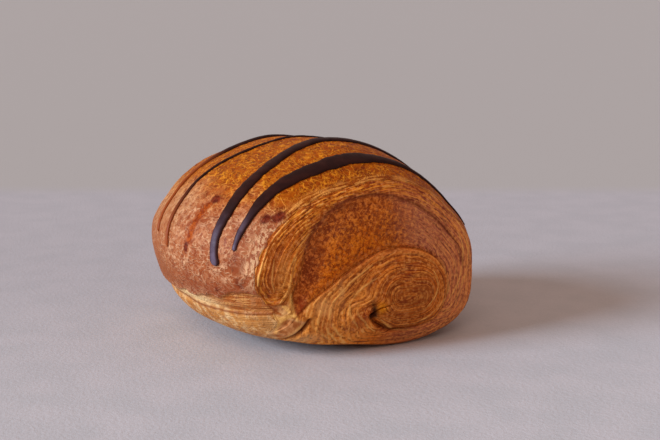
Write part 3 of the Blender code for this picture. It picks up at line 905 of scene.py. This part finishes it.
def face_pale(face, cut):
    """Shares of pale cream dough, and of the light lines along the edges of the cut end."""
    points = face["points"]
    front = 1.0 if points[0, 0, 1] < 0.0 else 0.0
    below_top = -beyond_line(points, CUT_TOP)
    left_of_seam = -beyond_line(points, CUT_SEAM)
    from_crease = face["outline"] - face["radius"]
    edges = bump(below_top, 0.0002, 0.0005) + bump(left_of_seam, 0.0011, 0.0005) + bump(from_crease, 0.0003, 0.0006)
    near = bump(points[..., 0], -0.025, 0.008) * (1.0 - smoothstep((points[..., 2] - 0.0165) / 0.001))
    pink = 1.0 - smoothstep((face["share"] - 0.54) / 0.12) if face["wrap"] else 0.0
    pink = pink * (1.0 - front * (1.0 - smoothstep((points[..., 0] - 0.001) / 0.016)))
    cut_lines = np.clip(edges, 0.0, 1.0) * near * np.minimum(cut * 3.0, 1.0)
    lighter = patches(points, PALE_PATCHES) - patches(points, LOBE_GOLD)
    return pack(lighter * front, cut_lines, pink)


def beyond_line(points, line):
    """How far points lie to the left of a line from its first end to its second, seen from the front."""
    (x0, z0), (x1, z1) = line
    length = math.hypot(x1 - x0, z1 - z0)
    return ((x1 - x0) * (points[..., 2] - z0) - (z1 - z0) * (points[..., 0] - x0)) / length


def cut_end(face):
    """The sheet's cut end on the lower left: its smooth triangle, and the seam on its right."""
    points = face["points"]
    below_top = -beyond_line(points, CUT_TOP)
    left_of_seam = -beyond_line(points, CUT_SEAM)
    triangle = smoothstep(below_top / 0.0008) * smoothstep(left_of_seam / 0.0005)
    reach = smoothstep((points[..., 2] - CUT_SEAM[1][1]) / 0.001) * smoothstep((CUT_SEAM[0][1] + 0.001 - points[..., 2]) / 0.001)
    seam = bump(left_of_seam, 0.0, 0.0007) * reach
    return triangle, seam * smoothstep((face["outline"] - face["radius"]) / 0.0005)


def smooth_through(values, share):
    """A smooth curve through evenly spaced values, read at each share from 0 to 1."""
    knots = np.array(values)
    place = share * (len(knots) - 1)
    index = np.minimum(place.astype(int), len(knots) - 2)
    part = place - index
    padded = np.concatenate([[2 * knots[0] - knots[1]], knots, [2 * knots[-1] - knots[-2]]])
    before, here, there, after = (padded[index + step] for step in range(4))
    slope_here = (there - before) / 2.0
    slope_there = (after - here) / 2.0
    square, cube = part ** 2, part ** 3
    return (
        (2 * cube - 3 * square + 1) * here
        + (cube - 2 * square + part) * slope_here
        + (3 * square - 2 * cube) * there
        + (cube - square) * slope_there
    )


def build_drizzle():
    """All stripes of chocolate as one piece of rounded beads with their roots in the crust."""
    grids, thin = [], []
    for number, stripe in enumerate(STRIPES):
        share = np.linspace(0.0, 1.0, STRIPE_STEPS)
        start, end = stripe["turns"]
        turn = np.radians(start + (end - start) * share)
        along = smooth_through(stripe["along"], share)
        half_width = smooth_through(stripe["half_widths"], share)
        length = np.abs(np.radians(end - start)) * 0.045
        from_end = np.minimum(share, 1.0 - share) * length
        round_end = np.sqrt(np.clip(1.0 - (1.0 - np.minimum(from_end / (half_width * 1.6), 1.0)) ** 2, 0.0, 1.0))
        wobble = 1.0 + 0.09 * noise(share * 20.0, number * 9.0, seed=5) + 0.07 * noise(share * 75.0, number * 9.0, seed=6)
        half_width = half_width * round_end * wobble * stripe["spread"]
        here, normal, long_way = skin_frame(turn, along)
        angles = np.arange(STRIPE_SIDES + 1) * 2.0 * math.pi / STRIPE_SIDES
        sine = np.sin(angles)
        profile = np.where(sine > 0.0, STRIPE_HEIGHT * np.abs(sine) ** 0.8, -STRIPE_ROOT * np.abs(sine))
        slim = np.minimum(half_width / STRIPE_FULL_HALF_WIDTH, 1.0)
        across = long_way[:, None, :] * (np.cos(angles)[None, :] * half_width[:, None])[..., None]
        upward = normal[:, None, :] * (profile[None, :] * slim[:, None] + STRIPE_LIFT)[..., None]
        points = here[:, None, :] + across + upward
        grids.append((points, True))
        low = smoothstep((np.degrees(turn) - stripe["thin_from"]) / 30.0)
        # Painted sheen: past its turn the stripe's colour is lightened as if lit, and the crown carries a painted
        # highlight
        sheen = smoothstep((np.degrees(turn) - stripe["sheen_from"]) / 22.0)
        crown = np.clip(sine, 0.0, 1.0)[None, :]
        thin.append(pack(low[:, None], sheen[:, None], crown))
    count = sum(g.shape[0] * g.shape[1] for g, _ in grids)
    points = np.concatenate([g.reshape(-1, 3) for g, _ in grids])
    relief = 0.00005 * layered_noise(points, 0.0022, 2, seed=90)
    thin = np.concatenate(thin)
    values = {"relief": relief.reshape(count), "thinness": thin}
    piece = make_piece("chocolate_drizzle", grids, values)
    piece.data.materials.append(chocolate_material())
    return piece


# --- materials ---
class Shades:
    """Builds a material's nodes by short calls. Each call returns the new node's output."""

    def __init__(self, name):
        self.material = bpy.data.materials.new(name)
        self.material.use_nodes = True
        self.tree = self.material.node_tree
        self.shader = self.tree.nodes["Principled BSDF"]

    def put(self, kind, **settings):
        node = self.tree.nodes.new(kind)
        for key, value in settings.items():
            setattr(node, key, value)
        return node

    def feed(self, socket, value):
        if isinstance(value, bpy.types.NodeSocket):
            self.tree.links.new(value, socket)
        else:
            socket.default_value = value

    def math(self, operation, a, b=0.0, clamp=False):
        node = self.put("ShaderNodeMath", operation=operation, use_clamp=clamp)
        self.feed(node.inputs[0], a)
        self.feed(node.inputs[1], b)
        return node.outputs[0]

    def range(self, value, low, high, to_low=0.0, to_high=1.0):
        node = self.put("ShaderNodeMapRange", interpolation_type="SMOOTHSTEP")
        self.feed(node.inputs["Value"], value)
        for name, number in (("From Min", low), ("From Max", high), ("To Min", to_low), ("To Max", to_high)):
            node.inputs[name].default_value = number
        return node.outputs["Result"]

    def mix(self, share, a, b, blend="MIX"):
        node = self.put("ShaderNodeMix", data_type="RGBA", blend_type=blend)
        self.feed(node.inputs["Factor"], share)
        self.feed(node.inputs[6], a)
        self.feed(node.inputs[7], b)
        return node.outputs[2]

    def place(self, stretch=(1.0, 1.0, 1.0), source=None):
        where = source or self.put("ShaderNodeTexCoord").outputs["Object"]
        node = self.put("ShaderNodeVectorMath", operation="MULTIPLY")
        self.feed(node.inputs[0], where)
        node.inputs[1].default_value = stretch
        return node.outputs[0]

    def noise(self, where, scale, detail=2.0, roughness=0.5, distortion=0.0):
        node = self.put("ShaderNodeTexNoise")
        self.feed(node.inputs["Vector"], where)
        node.inputs["Scale"].default_value = scale
        node.inputs["Detail"].default_value = detail
        node.inputs["Roughness"].default_value = roughness
        node.inputs["Distortion"].default_value = distortion
        return node.outputs["Fac"]

    def vein(self, value, half_width):
        """1 along the lines where a noise passes its middle, 0 away from them."""
        away = self.math("ABSOLUTE", self.math("SUBTRACT", value, 0.5))
        return self.range(away, 0.0, half_width, 1.0, 0.0)

    def blend(self, colour, share, strength, other):
        """Mixes another colour in where a share from 0 to 1 is high."""
        return self.mix(self.math("MULTIPLY", share, strength), colour, other)

    def attribute(self, name):
        node = self.put("ShaderNodeAttribute", attribute_name=name)
        parts = self.put("ShaderNodeSeparateXYZ")
        self.tree.links.new(node.outputs["Vector"], parts.inputs[0])
        return node.outputs["Vector"], parts.outputs[0], parts.outputs[1], parts.outputs[2]

    def bump(self, height, strength, distance):
        node = self.put("ShaderNodeBump")
        node.inputs["Strength"].default_value = strength
        node.inputs["Distance"].default_value = distance
        self.feed(node.inputs["Height"], height)
        self.tree.links.new(node.outputs["Normal"], self.shader.inputs["Normal"])

    def finish(self, colour, roughness, **constants):
        self.feed(self.shader.inputs["Base Color"], colour)
        self.feed(self.shader.inputs["Roughness"], roughness)
        for name, value in constants.items():
            self.shader.inputs[name.replace("_", " ")].default_value = value
        return self.material


def tint(red, green, blue):
    """A linear colour from values out of 255."""
    def linear(value):
        value = value / 255.0
        return value / 12.92 if value <= 0.04045 else ((value + 0.055) / 1.055) ** 2.4
    return (linear(red), linear(green), linear(blue), 1.0)


def crust_material():
    s = Shades("baked_crust")
    _, beside, golden, tail = s.attribute("crust_shares")
    _, patch, edge, under = s.attribute("crust_marks")
    spread_out, leaf, _, _ = s.attribute("crust_leaf")
    _, lip, groove, upper = s.attribute("crust_tail")
    _, track, fringe, far = s.attribute("crust_more")
    _, lens, sandy, russet = s.attribute("crust_more_patches")
    where = s.place()
    blotch = s.noise(where, 120.0, 3.0)
    cloud = s.noise(where, 230.0, 2.0, 0.6, 0.4)
    patchy = s.noise(where, 380.0, 3.0, 0.6)
    veins = s.vein(s.noise(s.place((1.0, 0.7, 1.0)), 470.0, 0.0, 0.5, 0.9), 0.110)
    veins = s.math("MULTIPLY", veins, s.range(s.noise(where, 700.0, 1.0), 0.40, 0.52, 0.15, 1.0))
    finer = s.vein(s.noise(s.place((1.0, 0.6, 1.0)), 820.0, 0.0, 0.5, 0.5), 0.100)
    pits = s.noise(where, 620.0, 2.0, 0.6)
    fleck_and_glint = s.math("MAXIMUM", veins, s.math("MULTIPLY", finer, 0.6))
    fleck_and_glint = s.math("MULTIPLY", fleck_and_glint, s.range(patchy, 0.36, 0.58, 0.40, 1.0))
    dips = s.range(pits, 0.49, 0.38)
    # Outside the golden share the crust is pinkish: partly its own tone, partly the window's sheen painted into the
    # colour
    colour = s.mix(golden, tint(162, 88, 48), tint(164, 76, 4))
    colour = s.blend(colour, s.range(blotch, 0.42, 0.66), 0.50, s.mix(golden, tint(182, 112, 66), tint(152, 64, 0)))
    colour = s.blend(colour, s.range(cloud, 0.48, 0.36), 0.55, s.mix(golden, tint(134, 62, 32), tint(126, 48, 0)))
    colour = s.blend(colour, s.range(cloud, 0.52, 0.64), 0.45, s.mix(golden, tint(204, 142, 96), tint(200, 104, 4)))
    colour = s.blend(colour, s.math("MULTIPLY", sandy, s.range(patchy, 0.40, 0.56, 0.30, 1.0)), 0.62, tint(232, 178, 116))
    colour = s.blend(colour, russet, 0.30, tint(156, 70, 16))
    # Pale flecks: partly the crust's own pale flecks, partly painted glints of the glossy egg wash
    light = s.mix(golden, tint(226, 172, 124), tint(236, 150, 30))
    dark = s.mix(golden, tint(136, 62, 30), tint(114, 40, 0))
    colour = s.blend(colour, dips, 0.75, dark)
    colour = s.blend(colour, fleck_and_glint, 0.78, light)
    streaks = s.noise(s.place((1.0, 1.0, 0.40)), 980.0, 2.0, 0.6, 0.3)
    colour = s.blend(colour, s.math("MULTIPLY", beside, s.range(streaks, 0.47, 0.58)), 0.75, tint(232, 184, 132))
    colour = s.blend(colour, s.math("MULTIPLY", beside, s.range(streaks, 0.46, 0.38)), 0.5, tint(164, 88, 54))
    colour = s.blend(colour, edge, 0.68, tint(136, 62, 28))
    strands = s.noise(s.place((0.0, 1500.0, 110.0), spread_out), 1.0, 2.0)
    strand_colour = s.mix(s.range(strands, 0.44, 0.58), tint(142, 66, 10), tint(244, 170, 80))
    colour = s.blend(colour, fringe, 0.75, strand_colour)
    colour = s.blend(colour, track, 0.95, s.mix(s.range(pits, 0.42, 0.60), tint(132, 46, 0), tint(172, 76, 10)))
    colour = s.blend(colour, s.math("MULTIPLY", far, s.math("SUBTRACT", 1.0, golden)), 0.50, tint(154, 82, 34))
    colour = s.blend(colour, patch, 0.95, s.mix(s.range(pits, 0.42, 0.60), tint(90, 20, 4), tint(122, 42, 16)))
    cream = s.noise(s.place((1.0, 1.0, 0.5)), 420.0, 2.0)
    sheets = s.noise(s.place((0.0, 160.0, 1900.0), spread_out), 1.0, 2.0, 0.6)
    tail_colour = s.mix(s.range(blotch, 0.40, 0.62), tint(192, 120, 50), tint(208, 142, 72))
    tail_colour = s.blend(tail_colour, s.range(cream, 0.48, 0.64), 0.66, tint(238, 194, 132))
    tail_colour = s.blend(tail_colour, s.range(cream, 0.48, 0.34), 0.50, tint(172, 98, 36))
    tail_colour = s.blend(tail_colour, s.range(patchy, 0.50, 0.64), 0.30, tint(244, 206, 150))
    tail_colour = s.blend(tail_colour, s.range(pits, 0.46, 0.36), 0.35, tint(162, 88, 34))
    tail_colour = s.blend(tail_colour, s.range(leaf, 0.25, 0.70), 0.25, tint(236, 180, 106))
    sheet_share = s.math("ADD", s.math("MULTIPLY", upper, 0.7), 0.15)
    tail_colour = s.blend(tail_colour, upper, 0.80, tint(160, 80, 28))
    light_sheets = s.math("MULTIPLY", s.range(sheets, 0.52, 0.60), sheet_share)
    dark_sheets = s.math("MULTIPLY", s.range(sheets, 0.48, 0.40), sheet_share)
    tail_colour = s.blend(tail_colour, light_sheets, 0.52, tint(236, 176, 98))
    tail_colour = s.blend(tail_colour, dark_sheets, 0.55, tint(144, 70, 22))
    tail_colour = s.blend(tail_colour, lens, 0.85, tint(178, 122, 66))
    tail_colour = s.blend(tail_colour, lip, 0.92, tint(250, 210, 146))
    # Painted shade in the groove below the lip
    tail_colour = s.blend(tail_colour, groove, 0.85, tint(128, 58, 18))
    colour = s.mix(tail, colour, tail_colour)
    colour = s.blend(colour, under, 0.40, tint(170, 104, 50))
    height = s.math("ADD", s.math("MULTIPLY", fleck_and_glint, 0.8), s.math("MULTIPLY", pits, 0.8))
    s.bump(height, 0.9, 0.00026)
    return s.finish(colour, s.range(pits, 0.3, 0.7, 0.42, 0.58), Specular_IOR_Level=0.10)


def end_material():
    s = Shades("laminated_end")
    flow, _, _, crest = s.attribute("leaf")
    _, smooth, dark, paren = s.attribute("tone")
    _, cut, lip, rim = s.attribute("marks")
    _, purple, orange, valley = s.attribute("hues")
    _, cream, cut_edges, pink = s.attribute("pale")
    _, pale_line, dark_line, below = s.attribute("lines")
    _, hole, glow, red = s.attribute("core")
    _, shade, arc, tongue = s.attribute("shade")
    where = s.place()
    bundle = s.noise(s.place((0.75, 0.22, 0.0), flow), 1.0, 1.0, 0.5)
    streak = s.noise(s.place((1.5, 0.34, 0.0), flow), 1.0, 3.0, 0.55)
    strand = s.noise(s.place((2.4, 0.42, 0.0), flow), 1.0, 2.0, 0.5)
    thread = s.vein(s.noise(s.place((1.9, 0.40, 0.0), flow), 1.0, 1.5, 0.5), 0.09)
    across = s.noise(s.place((0.30, 6.5, 0.0), flow), 1.0, 2.0, 0.6)
    blotch = s.noise(where, 120.0, 3.0)
    patchy = s.noise(where, 330.0, 2.0)
    grain = s.noise(where, 1000.0, 2.0, 0.6)
    mottle = s.noise(where, 980.0, 2.0, 0.65, 0.4)
    cloud = s.noise(where, 210.0, 2.0, 0.6, 0.5)
    layered = s.math("SUBTRACT", 1.0, s.math("MULTIPLY", smooth, 0.85))
    broken = s.range(grain, 0.40, 0.58, 0.40, 1.0)
    thread = s.math("MULTIPLY", thread, broken)
    crest = s.math("MULTIPLY", crest, broken)
    colour = s.mix(s.range(blotch, 0.35, 0.68), tint(188, 88, 18), tint(220, 116, 30))
    plain = s.mix(s.range(blotch, 0.40, 0.58), tint(160, 72, 26), tint(214, 108, 8))
    plain = s.blend(plain, purple, 0.75, tint(150, 76, 44))
    plain = s.blend(plain, orange, 0.75, tint(216, 106, 0))
    plain = s.blend(plain, s.range(cloud, 0.49, 0.38), 0.75, tint(124, 52, 30))
    plain = s.blend(plain, s.range(cloud, 0.52, 0.62), 0.60, tint(232, 132, 36))
    plain = s.blend(plain, s.range(patchy, 0.50, 0.60), 0.40, tint(150, 68, 34))
    plain = s.blend(plain, s.range(across, 0.51, 0.60), 0.66, tint(230, 130, 28))
    plain = s.blend(plain, s.range(across, 0.47, 0.38), 0.66, tint(112, 42, 0))
    plain = s.blend(plain, s.range(mottle, 0.52, 0.62), 0.70, tint(240, 146, 50))
    plain = s.blend(plain, s.range(mottle, 0.48, 0.38), 0.72, s.mix(purple, tint(104, 36, 4), tint(108, 46, 36)))
    plain = s.mix(s.math("MULTIPLY", orange, 0.9), plain, tint(255, 240, 120), "MULTIPLY")
    colour = s.mix(smooth, colour, plain)
    colour = s.blend(colour, valley, 0.80, s.mix(s.range(mottle, 0.48, 0.62), tint(130, 52, 16), tint(204, 112, 56)))
    colour = s.blend(colour, paren, 0.85, tint(250, 158, 64))
    colour = s.blend(colour, pink, 0.50, tint(208, 128, 96))
    # Dark gaps between leaves and bright crests: partly the dough's own pale edges and darker layers, partly painted
    # shade and highlight of the leaves' relief
    darker = s.math("MULTIPLY", layered, s.range(paren, 0.0, 1.0, 1.0, 0.80))
    colour = s.blend(colour, s.math("MULTIPLY", s.range(bundle, 0.48, 0.38), darker), 0.50, tint(136, 56, 12))
    colour = s.blend(colour, s.math("MULTIPLY", s.range(bundle, 0.52, 0.62), layered), 0.35, tint(228, 128, 40))
    gaps = s.math("MULTIPLY", s.range(streak, 0.50, 0.38), darker)
    deep = s.mix(s.range(cloud, 0.44, 0.56), tint(118, 46, 4), tint(122, 56, 36))
    colour = s.blend(colour, gaps, 0.68, deep)
    colour = s.blend(colour, s.math("MULTIPLY", s.range(strand, 0.47, 0.36), darker), 0.62, deep)
    lines = s.math("MULTIPLY", s.range(crest, 0.26, 0.66), s.range(patchy, 0.34, 0.62, 0.35, 1.0))
    colour = s.blend(colour, lines, 0.72, tint(246, 144, 44))
    colour = s.blend(colour, s.math("MULTIPLY", s.range(strand, 0.53, 0.64), layered), 0.42, tint(244, 148, 58))
    colour = s.blend(colour, s.math("MULTIPLY", thread, layered), 0.60, tint(246, 152, 52))
    colour = s.blend(colour, pink, 0.20, tint(186, 118, 96))
    colour = s.blend(colour, s.math("MULTIPLY", pink, s.range(strand, 0.48, 0.38)), 0.55, tint(112, 50, 36))
    colour = s.blend(colour, s.math("MULTIPLY", pink, s.range(crest, 0.30, 0.66)), 0.45, tint(240, 158, 82))
    colour = s.blend(colour, s.math("MULTIPLY", pink, thread), 0.45, tint(250, 178, 100))
    colour = s.blend(colour, s.math("MULTIPLY", tongue, thread), 0.40, tint(250, 180, 90))
    colour = s.blend(colour, s.math("MULTIPLY", tongue, s.range(crest, 0.40, 0.70)), 0.20, tint(240, 158, 60))
    colour = s.blend(colour, s.math("MULTIPLY", tongue, s.range(crest, 0.18, 0.05)), 0.30, tint(104, 40, 14))
    pale = s.math("MULTIPLY", s.math("MAXIMUM", paren, rim), lines)
    colour = s.blend(colour, pale, 0.70, tint(255, 198, 106))
    colour = s.blend(colour, s.math("MULTIPLY", rim, s.range(strand, 0.50, 0.58)), 0.66, tint(252, 168, 54))
    dough = s.mix(s.range(patchy, 0.42, 0.58), tint(172, 100, 44), tint(232, 180, 112))
    colour = s.blend(colour, below, 0.90, dough)
    # Red-brown patches; the last of them is painted shadow just below the band's rounded end
    colour = s.blend(colour, red, 0.62, tint(150, 54, 14))
    gold = s.mix(s.range(patchy, 0.42, 0.58), tint(200, 114, 32), tint(236, 158, 76))
    colour = s.blend(colour, s.range(cream, 0.0, -1.0), 0.68, gold)
    colour = s.blend(colour, s.range(cream, 0.0, 1.0), 0.40, tint(244, 190, 118))
    colour = s.blend(colour, lip, 0.35, tint(236, 148, 70))
    colour = s.blend(colour, arc, 0.62, s.mix(s.range(mottle, 0.46, 0.60), tint(106, 46, 32), tint(150, 80, 58)))
    grainy = s.math("SUBTRACT", 1.0, s.math("MULTIPLY", smooth, 0.6))
    colour = s.blend(colour, s.math("MULTIPLY", s.range(grain, 0.54, 0.68), grainy), 0.50, tint(238, 160, 92))
    colour = s.blend(colour, s.range(grain, 0.46, 0.34), 0.40, tint(118, 46, 10))
    smooth_cut = s.mix(s.range(patchy, 0.4, 0.6), tint(176, 102, 48), tint(210, 142, 84))
    colour = s.mix(cut, colour, smooth_cut)
    colour = s.blend(colour, cut_edges, 0.5, tint(250, 204, 138))
    # Painted shade on the end's lower right and round the band's rounded lower end
    colour = s.blend(colour, shade, 0.30, tint(104, 36, 8))
    colour = s.blend(colour, dark_line, 0.60, tint(116, 46, 10))
    colour = s.blend(colour, pale_line, 0.80, tint(250, 190, 100))
    colour = s.blend(colour, glow, 0.85, tint(226, 142, 14))
    # Painted shade: the tone's dark share darkens the seams, the hole, the slit, the groove and the line outside the
    # lip
    colour = s.mix(dark, colour, tint(92, 32, 6))
    # Painted shadow: the hole at the tongue's tip is painted near black
    colour = s.blend(colour, hole, 0.92, tint(44, 12, 4))
    height = s.math("ADD", s.math("MULTIPLY", streak, 0.9), s.math("MULTIPLY", grain, 0.5))
    height = s.math("ADD", height, s.math("MULTIPLY", strand, 0.6))
    height = s.math("ADD", height, s.math("MULTIPLY", s.math("MULTIPLY", mottle, smooth), 0.9))
    s.bump(height, 0.9, 0.00030)
    return s.finish(colour, s.range(grain, 0.3, 0.7, 0.48, 0.62), Specular_IOR_Level=0.08)


def chocolate_material():
    s = Shades("dark_chocolate")
    where = s.place()
    _, thinness, sheen, crown = s.attribute("thinness")
    mottled = s.noise(where, 260.0, 3.0)
    fine = s.noise(where, 1500.0, 2.0)
    colour = s.mix(s.range(mottled, 0.35, 0.7), tint(38, 13, 9), tint(53, 22, 15))
    # Painted sheen on the lower ends, and a painted highlight along each bead's crown
    colour = s.blend(colour, sheen, 0.7, tint(66, 38, 38))
    painted_highlight = s.math("MULTIPLY", sheen, s.range(crown, 0.55, 0.95))
    colour = s.blend(colour, painted_highlight, 0.80, s.mix(s.range(mottled, 0.40, 0.60), tint(78, 60, 74), tint(108, 92, 106)))
    colour = s.blend(colour, thinness, 0.85, tint(160, 76, 26))
    s.bump(s.math("ADD", mottled, s.math("MULTIPLY", fine, 0.3)), 0.3, 0.00012)
    return s.finish(colour, s.range(fine, 0.3, 0.7, 0.42, 0.50), Specular_IOR_Level=0.16)


def floor_material():
    """Plain pale paper, a little darker beyond the line where the background begins."""
    s = Shades("pale_paper")
    where = s.put("ShaderNodeTexCoord").outputs["Object"]
    across = s.put("ShaderNodeVectorMath", operation="DOT_PRODUCT")
    s.feed(across.inputs[0], where)
    across.inputs[1].default_value = (-math.sin(CAMERA_AZIMUTH), math.cos(CAMERA_AZIMUTH), 0.0)
    beyond = s.range(across.outputs["Value"], WALL_DISTANCE - 0.02, WALL_DISTANCE + 0.02)
    weave = s.math("ADD", s.noise(where, 60.0, 4.0), s.math("MULTIPLY", s.noise(where, 700.0, 3.0, 0.8), 0.9))
    weave = s.math("SUBTRACT", weave, 0.45)
    near = s.mix(s.range(weave, 0.3, 0.7), tint(199, 202, 200), tint(207, 208, 206))
    far = s.mix(s.range(weave, 0.3, 0.7), tint(186, 187, 186), tint(192, 192, 191))
    colour = s.mix(s.range(across.outputs["Value"], -0.12, 0.10), near, far)
    colour = s.mix(beyond, colour, tint(187, 187, 179))
    s.bump(s.noise(where, 700.0, 3.0, 0.7), 0.3, 0.0006)
    return s.finish(colour, 0.85)


# --- stage, light and camera ---
def build_stage():
    mesh = bpy.data.meshes.new("floor")
    reach = 14.0
    mesh.from_pydata([(-reach, -reach, 0), (reach, -reach, 0), (reach, reach, 0), (-reach, reach, 0)], [], [(0, 1, 2, 3)])
    mesh.materials.append(floor_material())
    floor = bpy.data.objects.new("floor", mesh)
    bpy.context.scene.collection.objects.link(floor)


def add_sun(name, azimuth, elevation, strength, colour, angle):
    """A sun whose light comes from that side of the object, with the view's azimuths."""
    a, e = math.radians(azimuth), math.radians(elevation)
    back = Vector((math.sin(a) * math.cos(e), -math.cos(a) * math.cos(e), math.sin(e)))
    lamp = bpy.data.lights.new(name, "SUN")
    lamp.energy, lamp.color, lamp.angle = strength, colour, math.radians(angle)
    holder = bpy.data.objects.new(name, lamp)
    holder.location = back
    holder.rotation_euler = (-back).to_track_quat("-Z", "Y").to_euler()
    bpy.context.scene.collection.objects.link(holder)


def build_light():
    world = bpy.data.worlds.new("studio")
    bpy.context.scene.world = world
    world.use_nodes = True
    background = world.node_tree.nodes["Background"]
    background.inputs["Color"].default_value = (1.0, 0.715, 0.648, 1.0)
    background.inputs["Strength"].default_value = 0.42
    add_sun("window", -97.0, 21.0, 4.05, (0.68, 0.79, 1.0), 24.0)
    add_sun("fill", -38.0, 40.0, 0.36, (1.0, 0.74, 0.64), 24.0)
    bpy.context.scene.view_settings.view_transform = "Standard"
    bpy.context.scene.view_settings.look = "None"


def build_camera():
    a, e = CAMERA_AZIMUTH, CAMERA_ELEVATION
    back = Vector((math.sin(a) * math.cos(e), -math.cos(a) * math.cos(e), math.sin(e)))
    right = Vector((math.cos(a), math.sin(a), 0.0))
    up = back.cross(right)
    camera = bpy.data.cameras.new("camera")
    camera.sensor_width = SENSOR_WIDTH
    camera.lens = SENSOR_WIDTH * FOCAL_PIXELS / IMAGE_WIDTH
    camera.shift_x = (IMAGE_WIDTH / 2.0 - AXIS_PIXEL[0]) / IMAGE_WIDTH
    camera.shift_y = (AXIS_PIXEL[1] - IMAGE_HEIGHT / 2.0) / IMAGE_WIDTH
    camera.clip_start = 0.01
    holder = bpy.data.objects.new("camera", camera)
    turned = Matrix((right, up, back)).transposed().to_4x4()
    holder.matrix_world = Matrix.Translation(CAMERA_TARGET + back * CAMERA_DISTANCE) @ turned
    bpy.context.scene.collection.objects.link(holder)
    bpy.context.scene.camera = holder


build_skin()
for end_side in (-1, 1):
    build_end(end_side)
build_drizzle()
build_stage()
build_light()
build_camera()
